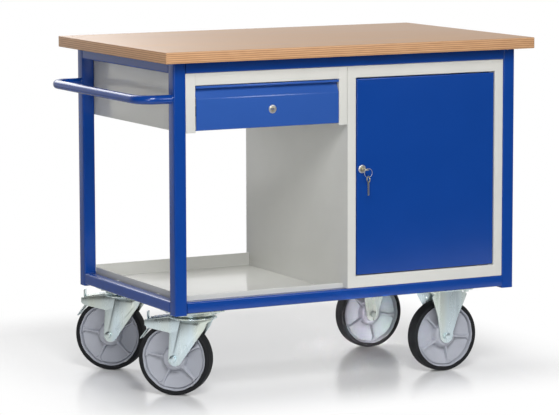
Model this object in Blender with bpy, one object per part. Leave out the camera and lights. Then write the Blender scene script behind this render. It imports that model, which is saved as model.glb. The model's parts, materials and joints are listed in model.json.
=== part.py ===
"""Workshop trolley: a welded tube frame with a plywood worktop, a drawer unit, a lockable
cabinet, an open bay with a shelf tray, a push handle, two swivel casters with brakes and two
fixed casters.

Metres, +Z up. The front faces -Y, the push handle stands out towards -X, the wheels stand on
Z = 0, and the origin lies on the floor under the middle of the overall box.
"""

import math

import bmesh
import bpy
from mathutils import Matrix, Vector

# Clearances
SEAT_GAP = 0.0003
RUNNING_GAP = 0.0006

# Worktop
WORKTOP_LENGTH = 1.120
WORKTOP_DEPTH = 0.700
WORKTOP_THICKNESS = 0.030
WORKTOP_HEIGHT = 0.932
WORKTOP_EDGE = 0.002

# Welded tube frame
FRAME_LENGTH = 1.040
FRAME_DEPTH = 0.620
LEG_SIZE = 0.035
RAIL_SIZE = 0.030
TUBE_WALL = 0.002
TUBE_CORNER = 0.004
RAIL_LIFT = 0.005
BEAM_WIDTH = 0.120
BEAM_HEIGHT = 0.020

# Push handle
HANDLE_TUBE = 0.025
HANDLE_WALL = 0.002
HANDLE_STANDOFF = 0.0855
HANDLE_BEND = 0.050
HANDLE_DROP = 0.126

# Sheet metal
SHEET = 0.0015
RETURN_DEPTH = 0.018
UNIT_RECESS = 0.003
UNIT_DEPTH = 0.604

# Shelf tray
TRAY_SIDE_GAP = 0.006
TRAY_FRONT_LIP = 0.026
TRAY_SIDE_LIP = 0.029
TRAY_BACK_LIP = 0.036
TRAY_TAB_WIDTH = 0.012
TRAY_TAB_SPACING = 0.260

# Cabinet
CABINET_WIDTH = 0.488
CABINET_STILE = 0.026
CABINET_TOP_STRIP = 0.032
CABINET_BOTTOM_STRIP = 0.032
SHELF_HEIGHT = 0.270
SHELF_SETBACK = 0.060
SHELF_FOLD = 0.025

# Door and its hinge
DOOR_GAP = 0.0025
HINGE_GAP = 0.003
HINGE_INSET = 0.006
PIN_RADIUS = 0.003
PIN_COLLAR = 0.005
PIN_GRIP = 0.007

# Drawer unit
CASE_HEIGHT = 0.156
CASE_LEFT_STILE = 0.029
CASE_RIGHT_STILE = 0.0255
CASE_TOP_STRIP = 0.0325
DRAWER_GAP = 0.0015
DRAWER_RISE = 0.005
GRIP_STRIP = 0.006
GRIP_MOUTH = 0.0275
GRIP_SLOPE = 0.024
GRIP_DEPTH = 0.013
BOX_DEPTH = 0.545
BOX_HEIGHT = 0.081
RUNNER_RISE = 0.040
RUNNER_HEIGHT = 0.030
RUNNER_WIDTH = 0.010
RUNNER_CLEARANCE = 0.001
RUNNER_PROUD = 0.002

# Locks
LOCK_FLANGE_RADIUS = 0.0115
LOCK_FLANGE = 0.003
LOCK_BODY_RADIUS = 0.0087
PLUG_RADIUS = 0.0055
PLUG_RECESS = 0.001
CAM_WIDTH = 0.012
CAM_THICKNESS = 0.003
CAM_GAP = 0.0008
DOOR_CAM_LENGTH = 0.030
DOOR_LOCK_EDGE = 0.0155
DOOR_LOCK_RISE = 0.288
DRAWER_LOCK_OFFSET = 0.012
DRAWER_LOCK_RISE = 0.0476
CATCH_WIDTH = 0.020
CATCH_FLANGE = 0.012
CATCH_CLEARANCE = 0.006
CATCH_ENGAGEMENT = 0.006

# Keys and their ring
KEY_THICKNESS = 0.002
KEY_BLADE_WIDTH = 0.007
KEY_BLADE_DEPTH = 0.0095
KEY_NECK = 0.0085
KEY_BOW_RADIUS = 0.0095
KEY_EYE_RADIUS = 0.006
SPARE_BLADE_LENGTH = 0.035
RING_RADIUS = 0.012
RING_WIRE_RADIUS = 0.0009
RING_SLACK = 0.0008

# Wheels
WHEEL_RADIUS = 0.100
TYRE_THICKNESS = 0.0117
TYRE_WIDTH = 0.042
TYRE_SHOULDER = 0.005
RIM_RING = 0.008
RIM_LIP = 0.0015
WEB_THICKNESS = 0.014
HUB_RADIUS = 0.030
HUB_WIDTH = 0.045
HUB_CHAMFER = 0.004
RIB_COUNT = 5
RIB_THICKNESS = 0.006
RIB_WIDTH = 0.028
SWIVEL_RIB_ANGLE = 28.0
FIXED_RIB_ANGLE = -8.0
AXLE_RADIUS = 0.006
AXLE_HEAD_RADIUS = 0.0095
AXLE_HEAD = 0.0075

# Casters
WHEEL_TRACK = 0.418
SWIVEL_INSET = 0.0985
SWIVEL_TRAIL = 0.0475
SWIVEL_REST_ANGLE = -44.5
FIXED_INSET = 0.169
FIXED_PLATE_OFFSET = 0.002
PLATE_LENGTH = 0.140
PLATE_WIDTH = 0.110
PLATE_THICKNESS = 0.006
BOLT_SPACING_X = 0.105
BOLT_SPACING_Y = 0.080
BOLT_HEAD_RADIUS = 0.0085
BOLT_HEAD = 0.006
FORK_SHEET = 0.004
FORK_SIDE_GAP = 0.0005
FORK_CROWN_GAP = 0.0115
HEAD_THICKNESS = 0.005
HEAD_RADIUS = 0.063
RACE_RADIUS = 0.060
RACE_DEPTH = 0.0085
RACE_CORE_RADIUS = 0.040
RACE_SLOT = 0.004
KINGPIN_RADIUS = 0.008
KING_NUT_RADIUS = 0.013
KING_NUT = 0.008

# Swivel fork cheek, measured from the axle and down from the head
SWIVEL_EYE = 0.0195
SWIVEL_EYE_OFFSET = 0.006
LEG_BACK = 0.0095
LEG_TOP_DROP = 0.052
ARM_ROOT = 0.0085
ARM_ROOT_DROP = 0.046
ARM_REACH = 0.0795
ARM_END_DROP = 0.0275
ARM_CORNER = 0.009
ARM_CORNER_DROP = 0.0345
NOSE_DROP = 0.0095
CROWN_BEND = 0.012
CROWN_SETBACK = 0.0675
FLANK_REACH = 0.0415
FLANK_DROP = 0.032
SHOULDER_REACH = 0.0485
SHOULDER_DROP = 0.015
CROWN_REACH = 0.061
CROWN_DROP = 0.0075

# Fixed fork cheek, measured from the axle and down from the plate
FIXED_EYE = 0.0205
FIXED_EYE_OFFSET = 0.0005
FIXED_PANEL_BACK = 0.024
FIXED_PANEL_FRONT = 0.0345
FIXED_FLANK_ANGLE = 30.0
FIXED_WAIST_BACK = 0.029
FIXED_WAIST_FRONT = 0.0235
FIXED_WAIST_BACK_HEIGHT = 0.055
FIXED_WAIST_FRONT_HEIGHT = 0.015
FIXED_FLANK_BACK = 0.059
FIXED_FLANK_FRONT = 0.060
FIXED_FLANK_DROP = 0.0145
FIXED_TOP_BACK = 0.040
FIXED_TOP_FRONT = 0.044
FIXED_TOP_DROP = 0.013

# Brake pedal, in polar places about the axle
PEDAL_SHEET = 0.003
PEDAL_WIDTH = 0.030
PEDAL_STANDOFF = 0.0095
PEDAL_END_ANGLE = 152.5
PEDAL_BEND_ANGLE = 133.0
PIVOT_STANDOFF = 0.018
PIVOT_ANGLE = 126.5
PIVOT_BOSS = 0.006
TAB_SETBACK = 0.0086
TAB_FOOT = 0.004
TAB_RISE = 0.028
TAB_WIDTH = 0.016

# Facets
WHEEL_SEGMENTS = 36
ROUND_SEGMENTS = 24
SMALL_SEGMENTS = 12
BEND_STEPS = 6
CORNER_STEPS = 2
SMOOTH_ANGLE = 32.0

# Heights worked out from the sizes above
HEAD_HEIGHT = 2 * WHEEL_RADIUS + FORK_CROWN_GAP + HEAD_THICKNESS
CASTER_HEIGHT = HEAD_HEIGHT + RACE_SLOT + RACE_DEPTH + PLATE_THICKNESS
FRAME_BOTTOM = CASTER_HEIGHT + SEAT_GAP
RAIL_BOTTOM = FRAME_BOTTOM + RAIL_LIFT
RAIL_TOP = RAIL_BOTTOM + RAIL_SIZE
FRAME_TOP = WORKTOP_HEIGHT - WORKTOP_THICKNESS - SEAT_GAP
UNIT_BOTTOM = RAIL_TOP + SEAT_GAP
UNIT_TOP = FRAME_TOP - RAIL_SIZE - SEAT_GAP
TRAY_UNDERSIDE = FRAME_BOTTOM + BEAM_HEIGHT + SEAT_GAP
TRAY_FLOOR = TRAY_UNDERSIDE + SHEET

# Lengthwise and crosswise places, measured from the middle of the frame
HALF_LENGTH = FRAME_LENGTH / 2
HALF_DEPTH = FRAME_DEPTH / 2
LEG_INSIDE_X = HALF_LENGTH - LEG_SIZE
RAIL_INSIDE_X = HALF_LENGTH - RAIL_SIZE
RAIL_INSIDE_Y = HALF_DEPTH - RAIL_SIZE
UNIT_FRONT = -HALF_DEPTH + UNIT_RECESS
UNIT_BACK = UNIT_FRONT + UNIT_DEPTH
CABINET_RIGHT = LEG_INSIDE_X - SEAT_GAP
CABINET_LEFT = CABINET_RIGHT - CABINET_WIDTH
CASE_LEFT = -LEG_INSIDE_X + SEAT_GAP
CASE_RIGHT = CABINET_LEFT - SEAT_GAP
CASE_BOTTOM = UNIT_TOP - CASE_HEIGHT
HANDLE_REACH = HALF_LENGTH + HANDLE_STANDOFF + HANDLE_TUBE / 2
FRAME_SHIFT = (HANDLE_REACH - WORKTOP_LENGTH / 2) / 2

# Cabinet opening and door
OPENING_LEFT = CABINET_LEFT + CABINET_STILE
OPENING_RIGHT = CABINET_RIGHT - CABINET_STILE
OPENING_BOTTOM = UNIT_BOTTOM + CABINET_BOTTOM_STRIP
OPENING_TOP = UNIT_TOP - CABINET_TOP_STRIP
DOOR_LEFT = OPENING_LEFT + DOOR_GAP
DOOR_RIGHT = OPENING_RIGHT - HINGE_GAP
DOOR_BOTTOM = OPENING_BOTTOM + DOOR_GAP
DOOR_TOP = OPENING_TOP - DOOR_GAP
HINGE_X = DOOR_RIGHT - HINGE_INSET
HINGE_Y = UNIT_FRONT + HINGE_INSET
DOOR_LOCK_X = DOOR_LEFT + DOOR_LOCK_EDGE
DOOR_LOCK_Z = DOOR_BOTTOM + DOOR_LOCK_RISE

# Drawer, its runners and its lock
CASE_OPENING_LEFT = CASE_LEFT + CASE_LEFT_STILE
CASE_OPENING_RIGHT = CASE_RIGHT - CASE_RIGHT_STILE
DRAWER_MIDDLE = (CASE_OPENING_LEFT + CASE_OPENING_RIGHT) / 2
DRAWER_BOTTOM = CASE_BOTTOM + DRAWER_RISE
DRAWER_TOP = UNIT_TOP - CASE_TOP_STRIP - DRAWER_GAP
CATCH_FRONT = UNIT_FRONT + GRIP_DEPTH + SHEET + CAM_GAP
DRAWER_CAM_FRONT = CATCH_FRONT + SHEET + CAM_GAP
BOX_FRONT = DRAWER_CAM_FRONT + CAM_THICKNESS + CAM_GAP
BOX_TOP = DRAWER_BOTTOM + BOX_HEIGHT
BOX_SIDE = RUNNER_CLEARANCE + RUNNER_WIDTH + SEAT_GAP
DRAWER_LOCK_X = DRAWER_MIDDLE + DRAWER_LOCK_OFFSET
DRAWER_LOCK_Z = DRAWER_BOTTOM + DRAWER_LOCK_RISE
CATCH_BOTTOM = BOX_TOP + CATCH_CLEARANCE
DRAWER_CAM_LENGTH = CATCH_BOTTOM + CATCH_ENGAGEMENT - DRAWER_LOCK_Z
DOOR_CAM_FRONT = UNIT_FRONT + RETURN_DEPTH + CAM_GAP

# Wheel and fork places
SWIVEL_X = -HALF_LENGTH + SWIVEL_INSET
SWIVEL_AXLE_X = SWIVEL_X - SWIVEL_TRAIL
FIXED_AXLE_X = HALF_LENGTH - FIXED_INSET
RIM_RADIUS = WHEEL_RADIUS - TYRE_THICKNESS - SEAT_GAP
CHEEK_INSIDE = HUB_WIDTH / 2 + FORK_SIDE_GAP
CHEEK_OUTSIDE = CHEEK_INSIDE + FORK_SHEET
HEAD_TOP = WHEEL_RADIUS + FORK_CROWN_GAP + HEAD_THICKNESS
PLATE_TOP = CASTER_HEIGHT - WHEEL_RADIUS

# Finishes: colour, roughness and metallic value
FINISHES = {
    "blue_paint": ((0.022, 0.072, 0.330), 0.35, 0.0),
    "grey_paint": ((0.600, 0.610, 0.580), 0.35, 0.0),
    "beech_plywood": ((0.560, 0.350, 0.190), 0.50, 0.0),
    "zinc_steel": ((0.560, 0.600, 0.580), 0.40, 1.0),
    "wheel_plastic": ((0.330, 0.340, 0.380), 0.50, 0.0),
    "tyre_rubber": ((0.020, 0.020, 0.022), 0.70, 0.0),
    "nickel": ((0.700, 0.690, 0.660), 0.20, 1.0),
}


def clear_scene():
    for item in list(bpy.data.objects):
        bpy.data.objects.remove(item, do_unlink=True)


def link(item):
    bpy.context.scene.collection.objects.link(item)
    return item


def joint_empty(name, position, parent):
    """An empty on a joint's axis; positions are measured from the middle of the frame."""
    empty = link(bpy.data.objects.new(name, None))
    empty.parent = parent
    empty.location = Vector(position) - frame_position(parent)
    return empty


def frame_position(empty):
    if empty.parent is None:
        return Vector()
    return empty.location + frame_position(empty.parent)


def finish_material(name, finish):
    colour, roughness, metallic = FINISHES[finish]
    material = bpy.data.materials.new(name + "_" + finish)
    material.use_nodes = True
    shader = material.node_tree.nodes["Principled BSDF"]
    shader.inputs["Base Color"].default_value = (*colour, 1.0)
    shader.inputs["Roughness"].default_value = roughness
    shader.inputs["Metallic"].default_value = metallic
    return material


def add_piece(name, solid, finish, parent, position=(0, 0, 0)):
    """Makes a named object from a solid whose own origin lies at position."""
    bmesh.ops.recalc_face_normals(solid, faces=solid.faces)
    mesh = bpy.data.meshes.new(name)
    solid.to_mesh(mesh)
    solid.free()
    mesh.shade_smooth()
    mesh.set_sharp_from_angle(angle=math.radians(SMOOTH_ANGLE))
    mesh.materials.append(finish_material(name, finish))
    piece = link(bpy.data.objects.new(name, mesh))
    piece.parent = parent
    piece.location = Vector(position) - frame_position(parent)
    return piece


def arc(centre, radius, start, end, steps):
    """Points along an arc, with its angles in degrees."""
    angles = [math.radians(start + (end - start) * i / steps) for i in range(steps + 1)]
    return [(centre[0] + radius * math.cos(a), centre[1] + radius * math.sin(a)) for a in angles]


def polar(radius, angle):
    return (radius * math.cos(math.radians(angle)), radius * math.sin(math.radians(angle)))


def circle(centre, radius, count, turn=0.0):
    return arc(centre, radius, turn, turn + 360.0, count)[:-1]


def rounded_rectangle(width, height, radius):
    """Outline round the origin with rounded corners."""
    half_width, half_height = width / 2 - radius, height / 2 - radius
    corners = [(half_width, half_height), (-half_width, half_height)]
    corners += [(-half_width, -half_height), (half_width, -half_height)]
    points = []
    for quarter, corner in enumerate(corners):
        points += arc(corner, radius, 90 * quarter, 90 * quarter + 90, CORNER_STEPS)
    return points


def place_on(axis, point, level):
    """A point of an outline, at a level along the axis that the outline is square to."""
    a, b = point
    return {"X": (level, a, b), "Y": (a, level, b), "Z": (a, b, level)}[axis]


def prism(outline, axis, low, high):
    """An outline extruded along an axis from one level to another."""
    solid = bmesh.new()
    base = solid.faces.new([solid.verts.new(place_on(axis, point, low)) for point in outline])
    raised = bmesh.ops.extrude_face_region(solid, geom=[base], use_keep_orig=True)["geom"]
    verts = [item for item in raised if isinstance(item, bmesh.types.BMVert)]
    bmesh.ops.translate(solid, verts=verts, vec=place_on(axis, (0, 0), high - low))
    bmesh.ops.recalc_face_normals(solid, faces=solid.faces)
    return solid


def box(low, high):
    outline = [(low[0], low[1]), (high[0], low[1]), (high[0], high[1]), (low[0], high[1])]
    return prism(outline, "Z", low[2], high[2])


def cylinder(centre, radius, axis, low, high, count, turn=0.0):
    return prism(circle(centre, radius, count, turn), axis, low, high)


def folded(points, thickness):
    """Closed outline of a bent sheet: points run along one face, with the metal on their right."""
    points = [Vector(point) for point in points]
    normals = []
    for start, end in zip(points, points[1:]):
        direction = (end - start).normalized()
        normals.append(Vector((direction.y, -direction.x)))
    other = [points[0] + normals[0] * thickness]
    for corner, before, after in zip(points[1:], normals, normals[1:]):
        half = (before + after).normalized()
        other.append(corner + half * (thickness / half.dot(before)))
    other.append(points[-1] + normals[-1] * thickness)
    return [tuple(point) for point in points + other[::-1]]


def nested(loops, ring):
    """Skin over rectangles given as (low corner, high corner, level) in the XZ plane, square
    to Y: a ring closes the last on the first, and otherwise both ends are capped."""
    solid = bmesh.new()
    rows = []
    for (left, bottom), (right, top), level in loops:
        corners = [(left, bottom), (right, bottom), (right, top), (left, top)]
        rows.append([solid.verts.new(place_on("Y", corner, level)) for corner in corners])
    pairs = list(zip(rows, rows[1:]))
    if ring:
        pairs.append((rows[-1], rows[0]))
    else:
        solid.faces.new(rows[0])
        solid.faces.new(rows[-1])
    for first, second in pairs:
        for i in range(4):
            j = (i + 1) % 4
            solid.faces.new((first[i], first[j], second[j], second[i]))
    bmesh.ops.recalc_face_normals(solid, faces=solid.faces)
    return solid


def square_tube(width, height, axis, low, high, centre):
    """Open-ended tube of rounded rectangular section, round centre."""
    outer = rounded_rectangle(width, height, TUBE_CORNER)
    bore_corner = max(TUBE_CORNER - TUBE_WALL, TUBE_CORNER / 4)
    inner = rounded_rectangle(width - 2 * TUBE_WALL, height - 2 * TUBE_WALL, bore_corner)
    solid = bmesh.new()
    rows = []
    for outline, level in ((outer, low), (outer, high), (inner, high), (inner, low)):
        points = [(a + centre[0], b + centre[1]) for a, b in outline]
        rows.append([solid.verts.new(place_on(axis, point, level)) for point in points])
    for first, second in zip(rows, rows[1:] + rows[:1]):
        for i in range(len(first)):
            j = (i + 1) % len(first)
            solid.faces.new((first[i], first[j], second[j], second[i]))
    bmesh.ops.recalc_face_normals(solid, faces=solid.faces)
    return solid


def turned(profile, count, axis="Z", turn=0.0, closed=True):
    """Profile of (radius, height) spun about an axis; a closed profile goes round a bore."""
    solid = bmesh.new()
    verts = [solid.verts.new((radius, 0, height)) for radius, height in profile]
    pairs = list(zip(verts, verts[1:] + verts[:1])) if closed else list(zip(verts, verts[1:]))
    edges = [solid.edges.new(pair) for pair in pairs]
    bmesh.ops.spin(solid, geom=verts + edges, cent=(0, 0, 0), axis=(0, 0, 1), dvec=(0, 0, 0),
                   angle=2 * math.pi, steps=count, use_merge=True)
    bmesh.ops.remove_doubles(solid, verts=solid.verts, dist=1e-6)
    rotation = Matrix.Rotation(math.radians(turn), 3, "Z")
    if axis == "Y":
        rotation = Matrix.Rotation(math.radians(-90), 3, "X") @ rotation
    bmesh.ops.rotate(solid, cent=(0, 0, 0), matrix=rotation, verts=solid.verts)
    bmesh.ops.recalc_face_normals(solid, faces=solid.faces)
    return solid


def moved(solid, offset):
    bmesh.ops.translate(solid, verts=solid.verts, vec=offset)
    return solid


def temporary(solid):
    mesh = bpy.data.meshes.new("tool")
    solid.to_mesh(mesh)
    solid.free()
    return link(bpy.data.objects.new("tool", mesh))


def combined(operation, solid, tools):
    """Boolean of a solid with each tool in turn, as a new solid."""
    base = temporary(solid)
    helpers = [temporary(tool) for tool in tools]
    for helper in helpers:
        modifier = base.modifiers.new("step", "BOOLEAN")
        modifier.operation = operation
        modifier.solver = "EXACT"
        modifier.object = helper
    bpy.context.view_layer.update()
    result = bmesh.new()
    result.from_object(base, bpy.context.evaluated_depsgraph_get())
    for item in [base] + helpers:
        bpy.data.objects.remove(item, do_unlink=True)
    bmesh.ops.remove_doubles(result, verts=result.verts, dist=1e-6)
    bmesh.ops.dissolve_degenerate(result, edges=result.edges, dist=1e-6)
    return result


def fused(solid, *tools):
    return combined("UNION", solid, tools)


def cut(solid, *tools):
    return combined("DIFFERENCE", solid, tools)


def build_worktop(root):
    half_length, half_depth = WORKTOP_LENGTH / 2, WORKTOP_DEPTH / 2
    low = (-half_length, -half_depth, WORKTOP_HEIGHT - WORKTOP_THICKNESS)
    solid = box(low, (half_length, half_depth, WORKTOP_HEIGHT))
    bmesh.ops.bevel(solid, geom=solid.edges, offset=WORKTOP_EDGE, segments=CORNER_STEPS,
                    profile=0.5, affect="EDGES")
    add_piece("worktop", solid, "beech_plywood", root)


def build_frame(root):
    """Legs, rails and caster beams of the welded frame."""
    leg_x = HALF_LENGTH - LEG_SIZE / 2
    leg_y = HALF_DEPTH - LEG_SIZE / 2
    rail_x = HALF_LENGTH - RAIL_SIZE / 2
    rail_y = HALF_DEPTH - RAIL_SIZE / 2
    rail_end_x = LEG_INSIDE_X - SEAT_GAP
    rail_end_y = HALF_DEPTH - LEG_SIZE - SEAT_GAP
    for row, side_y in (("front", -1), ("back", 1)):
        for column, side_x in (("left", -1), ("right", 1)):
            centre = (side_x * leg_x, side_y * leg_y)
            leg = square_tube(LEG_SIZE, LEG_SIZE, "Z", FRAME_BOTTOM, FRAME_TOP, centre)
            add_piece(f"leg_{row}_{column}", leg, "blue_paint", root)
    levels = (("top", FRAME_TOP - RAIL_SIZE / 2), ("bottom", RAIL_BOTTOM + RAIL_SIZE / 2))
    for level, rail_z in levels:
        for row, side in (("front", -1), ("back", 1)):
            centre = (side * rail_y, rail_z)
            rail = square_tube(RAIL_SIZE, RAIL_SIZE, "X", -rail_end_x, rail_end_x, centre)
            add_piece(f"{level}_rail_{row}", rail, "blue_paint", root)
        for column, side in (("left", -1), ("right", 1)):
            centre = (side * rail_x, rail_z)
            rail = square_tube(RAIL_SIZE, RAIL_SIZE, "Y", -rail_end_y, rail_end_y, centre)
            add_piece(f"{level}_rail_{column}", rail, "blue_paint", root)
    beam_end = RAIL_INSIDE_Y - SEAT_GAP
    beam_z = FRAME_BOTTOM + BEAM_HEIGHT / 2
    for column, beam_x in (("left", SWIVEL_X), ("right", FIXED_AXLE_X + FIXED_PLATE_OFFSET)):
        beam = square_tube(BEAM_WIDTH, BEAM_HEIGHT, "Y", -beam_end, beam_end, (beam_x, beam_z))
        add_piece(f"caster_beam_{column}", beam, "blue_paint", root)


def build_push_handle(root):
    """Round tube from one left leg to the other, with two bends."""
    start_x = -HALF_LENGTH - SEAT_GAP
    bar_x = -HALF_LENGTH - HANDLE_STANDOFF
    side_y = HALF_DEPTH - LEG_SIZE / 2
    bend_x = bar_x + HANDLE_BEND
    bend_y = side_y - HANDLE_BEND
    route = [(start_x, -side_y)]
    route += arc((bend_x, -bend_y), HANDLE_BEND, 270, 180, BEND_STEPS)
    route += arc((bend_x, bend_y), HANDLE_BEND, 180, 90, BEND_STEPS)
    route += [(start_x, side_y)]
    height = WORKTOP_HEIGHT - HANDLE_DROP
    inside = HANDLE_TUBE / 2 - HANDLE_WALL
    solid = cut(swept(route, height, HANDLE_TUBE / 2, 0.0), swept(route, height, inside, HANDLE_WALL))
    add_piece("push_handle", solid, "blue_paint", root)


def swept(route, height, radius, overrun):
    """Round bar along a level route, with its ends carried on by overrun."""
    curve = bpy.data.curves.new("route", "CURVE")
    curve.dimensions = "3D"
    curve.bevel_depth = radius
    curve.bevel_resolution = 3
    curve.use_fill_caps = True
    (first_x, first_y), (last_x, last_y) = route[0], route[-1]
    points = [(first_x + overrun, first_y)] + route[1:-1] + [(last_x + overrun, last_y)]
    spline = curve.splines.new("POLY")
    spline.points.add(len(points) - 1)
    for knot, (x, y) in zip(spline.points, points):
        knot.co = (x, y, height, 1.0)
    bar = link(bpy.data.objects.new("route", curve))
    bpy.context.view_layer.update()
    solid = bmesh.new()
    mesh = bpy.data.meshes.new_from_object(bar.evaluated_get(bpy.context.evaluated_depsgraph_get()))
    solid.from_mesh(mesh)
    bpy.data.objects.remove(bar, do_unlink=True)
    bmesh.ops.remove_doubles(solid, verts=solid.verts, dist=1e-6)
    bmesh.ops.recalc_face_normals(solid, faces=solid.faces)
    return solid


def build_shelf_tray(root):
    """Folded tray between the bottom rails, with tabs that bridge the gap to the side rail."""
    front = -RAIL_INSIDE_Y + SEAT_GAP
    back = RAIL_INSIDE_Y - SEAT_GAP
    left = -RAIL_INSIDE_X + TRAY_SIDE_GAP
    right = CABINET_LEFT - SEAT_GAP
    profile = [(back, TRAY_FLOOR + TRAY_BACK_LIP), (back, TRAY_UNDERSIDE), (front, TRAY_UNDERSIDE)]
    profile += [(front, TRAY_FLOOR + TRAY_FRONT_LIP)]
    overlap = SHEET / 2
    solid = prism(folded(profile, SHEET), "X", left + overlap, right)
    side_low = (left, front + overlap, TRAY_UNDERSIDE + overlap)
    side = box(side_low, (left + SHEET, back - overlap, TRAY_FLOOR + TRAY_SIDE_LIP))
    tabs = []
    for tab_y in (-TRAY_TAB_SPACING / 2, TRAY_TAB_SPACING / 2):
        low = (-RAIL_INSIDE_X + SEAT_GAP, tab_y - TRAY_TAB_WIDTH / 2, RAIL_TOP - 2 * SHEET)
        tabs.append(box(low, (left + overlap, tab_y + TRAY_TAB_WIDTH / 2, RAIL_TOP - SHEET)))
    add_piece("shelf_tray", fused(solid, side, *tabs), "grey_paint", root)


def build_cabinet(root):
    """Folded shell, top, floor, shelf and front frame."""
    shell_front = UNIT_FRONT + SHEET + SEAT_GAP
    plan = [(CABINET_LEFT, shell_front), (CABINET_LEFT, UNIT_BACK)]
    plan += [(CABINET_RIGHT, UNIT_BACK), (CABINET_RIGHT, shell_front)]
    shell = prism(folded(plan, SHEET), "Z", UNIT_BOTTOM, UNIT_TOP)
    joggle = SHEET / 8
    skirt_front = -RAIL_INSIDE_Y + SEAT_GAP
    skirt_back = min(RAIL_INSIDE_Y, UNIT_BACK) - SEAT_GAP
    skirt_low = (CABINET_LEFT + joggle, skirt_front, TRAY_UNDERSIDE)
    skirt_high = (CABINET_LEFT + SHEET - joggle, skirt_back, UNIT_BOTTOM + RETURN_DEPTH)
    add_piece("cabinet_shell", fused(shell, box(skirt_low, skirt_high)), "grey_paint", root)

    inside_left = CABINET_LEFT + SHEET + SEAT_GAP
    inside_right = CABINET_RIGHT - SHEET - SEAT_GAP
    inside_back = UNIT_BACK - SHEET - SEAT_GAP
    top = box((inside_left, shell_front, UNIT_TOP - SHEET), (inside_right, inside_back, UNIT_TOP))
    add_piece("cabinet_top", top, "grey_paint", root)
    floor_low = (inside_left, UNIT_FRONT + RETURN_DEPTH + SEAT_GAP, OPENING_BOTTOM - SHEET)
    floor = box(floor_low, (inside_right, inside_back, OPENING_BOTTOM))
    add_piece("cabinet_floor", floor, "grey_paint", root)
    shelf_z = OPENING_BOTTOM + SHELF_HEIGHT
    shelf_front = UNIT_FRONT + SHELF_SETBACK
    profile = [(shelf_front, shelf_z - SHELF_FOLD), (shelf_front, shelf_z), (inside_back, shelf_z)]
    shelf = prism(folded(profile, SHEET), "X", inside_left, inside_right)
    add_piece("cabinet_shelf", shelf, "grey_paint", root)

    outer = ((CABINET_LEFT, UNIT_BOTTOM), (CABINET_RIGHT, UNIT_TOP))
    opening = ((OPENING_LEFT, OPENING_BOTTOM), (OPENING_RIGHT, OPENING_TOP))
    sleeve = ((OPENING_LEFT - SHEET, OPENING_BOTTOM - SHEET), (OPENING_RIGHT + SHEET, OPENING_TOP + SHEET))
    depth = UNIT_FRONT + RETURN_DEPTH
    face = UNIT_FRONT + SHEET
    loops = [(*outer, UNIT_FRONT), (*opening, UNIT_FRONT), (*opening, depth), (*sleeve, depth)]
    loops += [(*sleeve, face), (*outer, face)]
    frame = cut(nested(loops, ring=True), hinge_hole(OPENING_TOP), hinge_hole(OPENING_BOTTOM))
    add_piece("cabinet_front_frame", frame, "grey_paint", root)


def hinge_hole(level):
    reach = 4 * SHEET
    radius = PIN_RADIUS + SEAT_GAP
    return cylinder((HINGE_X, HINGE_Y), radius, "Z", level - reach, level + reach, SMALL_SEGMENTS)


def build_hinge_pins(root):
    """Two pintle pins with collars that take the door's weight."""
    ends = (("top", OPENING_TOP, DOOR_TOP), ("bottom", OPENING_BOTTOM, DOOR_BOTTOM))
    for name, frame_edge, door_edge in ends:
        inward = math.copysign(1.0, door_edge - frame_edge)
        frame_end = frame_edge - inward * PIN_GRIP
        collar_start = frame_edge + inward * SEAT_GAP
        collar_end = door_edge - inward * SEAT_GAP
        door_end = door_edge + inward * PIN_GRIP
        profile = [(0, frame_end), (PIN_RADIUS, frame_end), (PIN_RADIUS, collar_start)]
        profile += [(PIN_COLLAR, collar_start), (PIN_COLLAR, collar_end), (PIN_RADIUS, collar_end)]
        profile += [(PIN_RADIUS, door_end), (0, door_end)]
        pin = turned(profile, SMALL_SEGMENTS, closed=False)
        add_piece(f"hinge_pin_{name}", pin, "zinc_steel", root, (HINGE_X, HINGE_Y, 0))


def build_door(root):
    """Folded door pan on its hinge axis, with its lock, key and key ring."""
    hinge = joint_empty("door_hinge", (HINGE_X, HINGE_Y, DOOR_BOTTOM), root)
    outer = ((DOOR_LEFT, DOOR_BOTTOM), (DOOR_RIGHT, DOOR_TOP))
    inner = ((DOOR_LEFT + SHEET, DOOR_BOTTOM + SHEET), (DOOR_RIGHT - SHEET, DOOR_TOP - SHEET))
    rear = UNIT_FRONT + RETURN_DEPTH
    loops = [(*outer, UNIT_FRONT), (*outer, rear), (*inner, rear), (*inner, UNIT_FRONT + SHEET)]
    holes = [hinge_hole(DOOR_TOP), hinge_hole(DOOR_BOTTOM), lock_hole(DOOR_LOCK_X, DOOR_LOCK_Z)]
    add_piece("door", cut(nested(loops, ring=False), *holes), "blue_paint", hinge)
    lock_centre = (DOOR_LOCK_X, UNIT_FRONT, DOOR_LOCK_Z)
    cam_front = DOOR_CAM_FRONT - UNIT_FRONT
    add_piece("door_lock_barrel", lock_barrel(cam_front), "nickel", hinge, lock_centre)
    axis = joint_empty("door_lock_axis", lock_centre, hinge)
    plug = lock_plug(cam_front, (0, -1), DOOR_CAM_LENGTH)
    add_piece("door_lock_plug", plug, "nickel", axis, lock_centre)
    add_piece("door_key", door_key(), "nickel", axis, lock_centre)
    ring_pivot = Vector(lock_centre) + Vector(ring_top())
    swing = joint_empty("key_ring_pivot", ring_pivot, axis)
    add_piece("key_ring", key_ring(), "nickel", swing, ring_pivot)
    add_piece("spare_key", spare_key(), "nickel", swing, ring_pivot)


def lock_hole(x, z):
    radius = LOCK_BODY_RADIUS + SEAT_GAP
    return cylinder((x, z), radius, "Y", UNIT_FRONT - SHEET, UNIT_FRONT + 2 * SHEET, ROUND_SEGMENTS)


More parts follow.
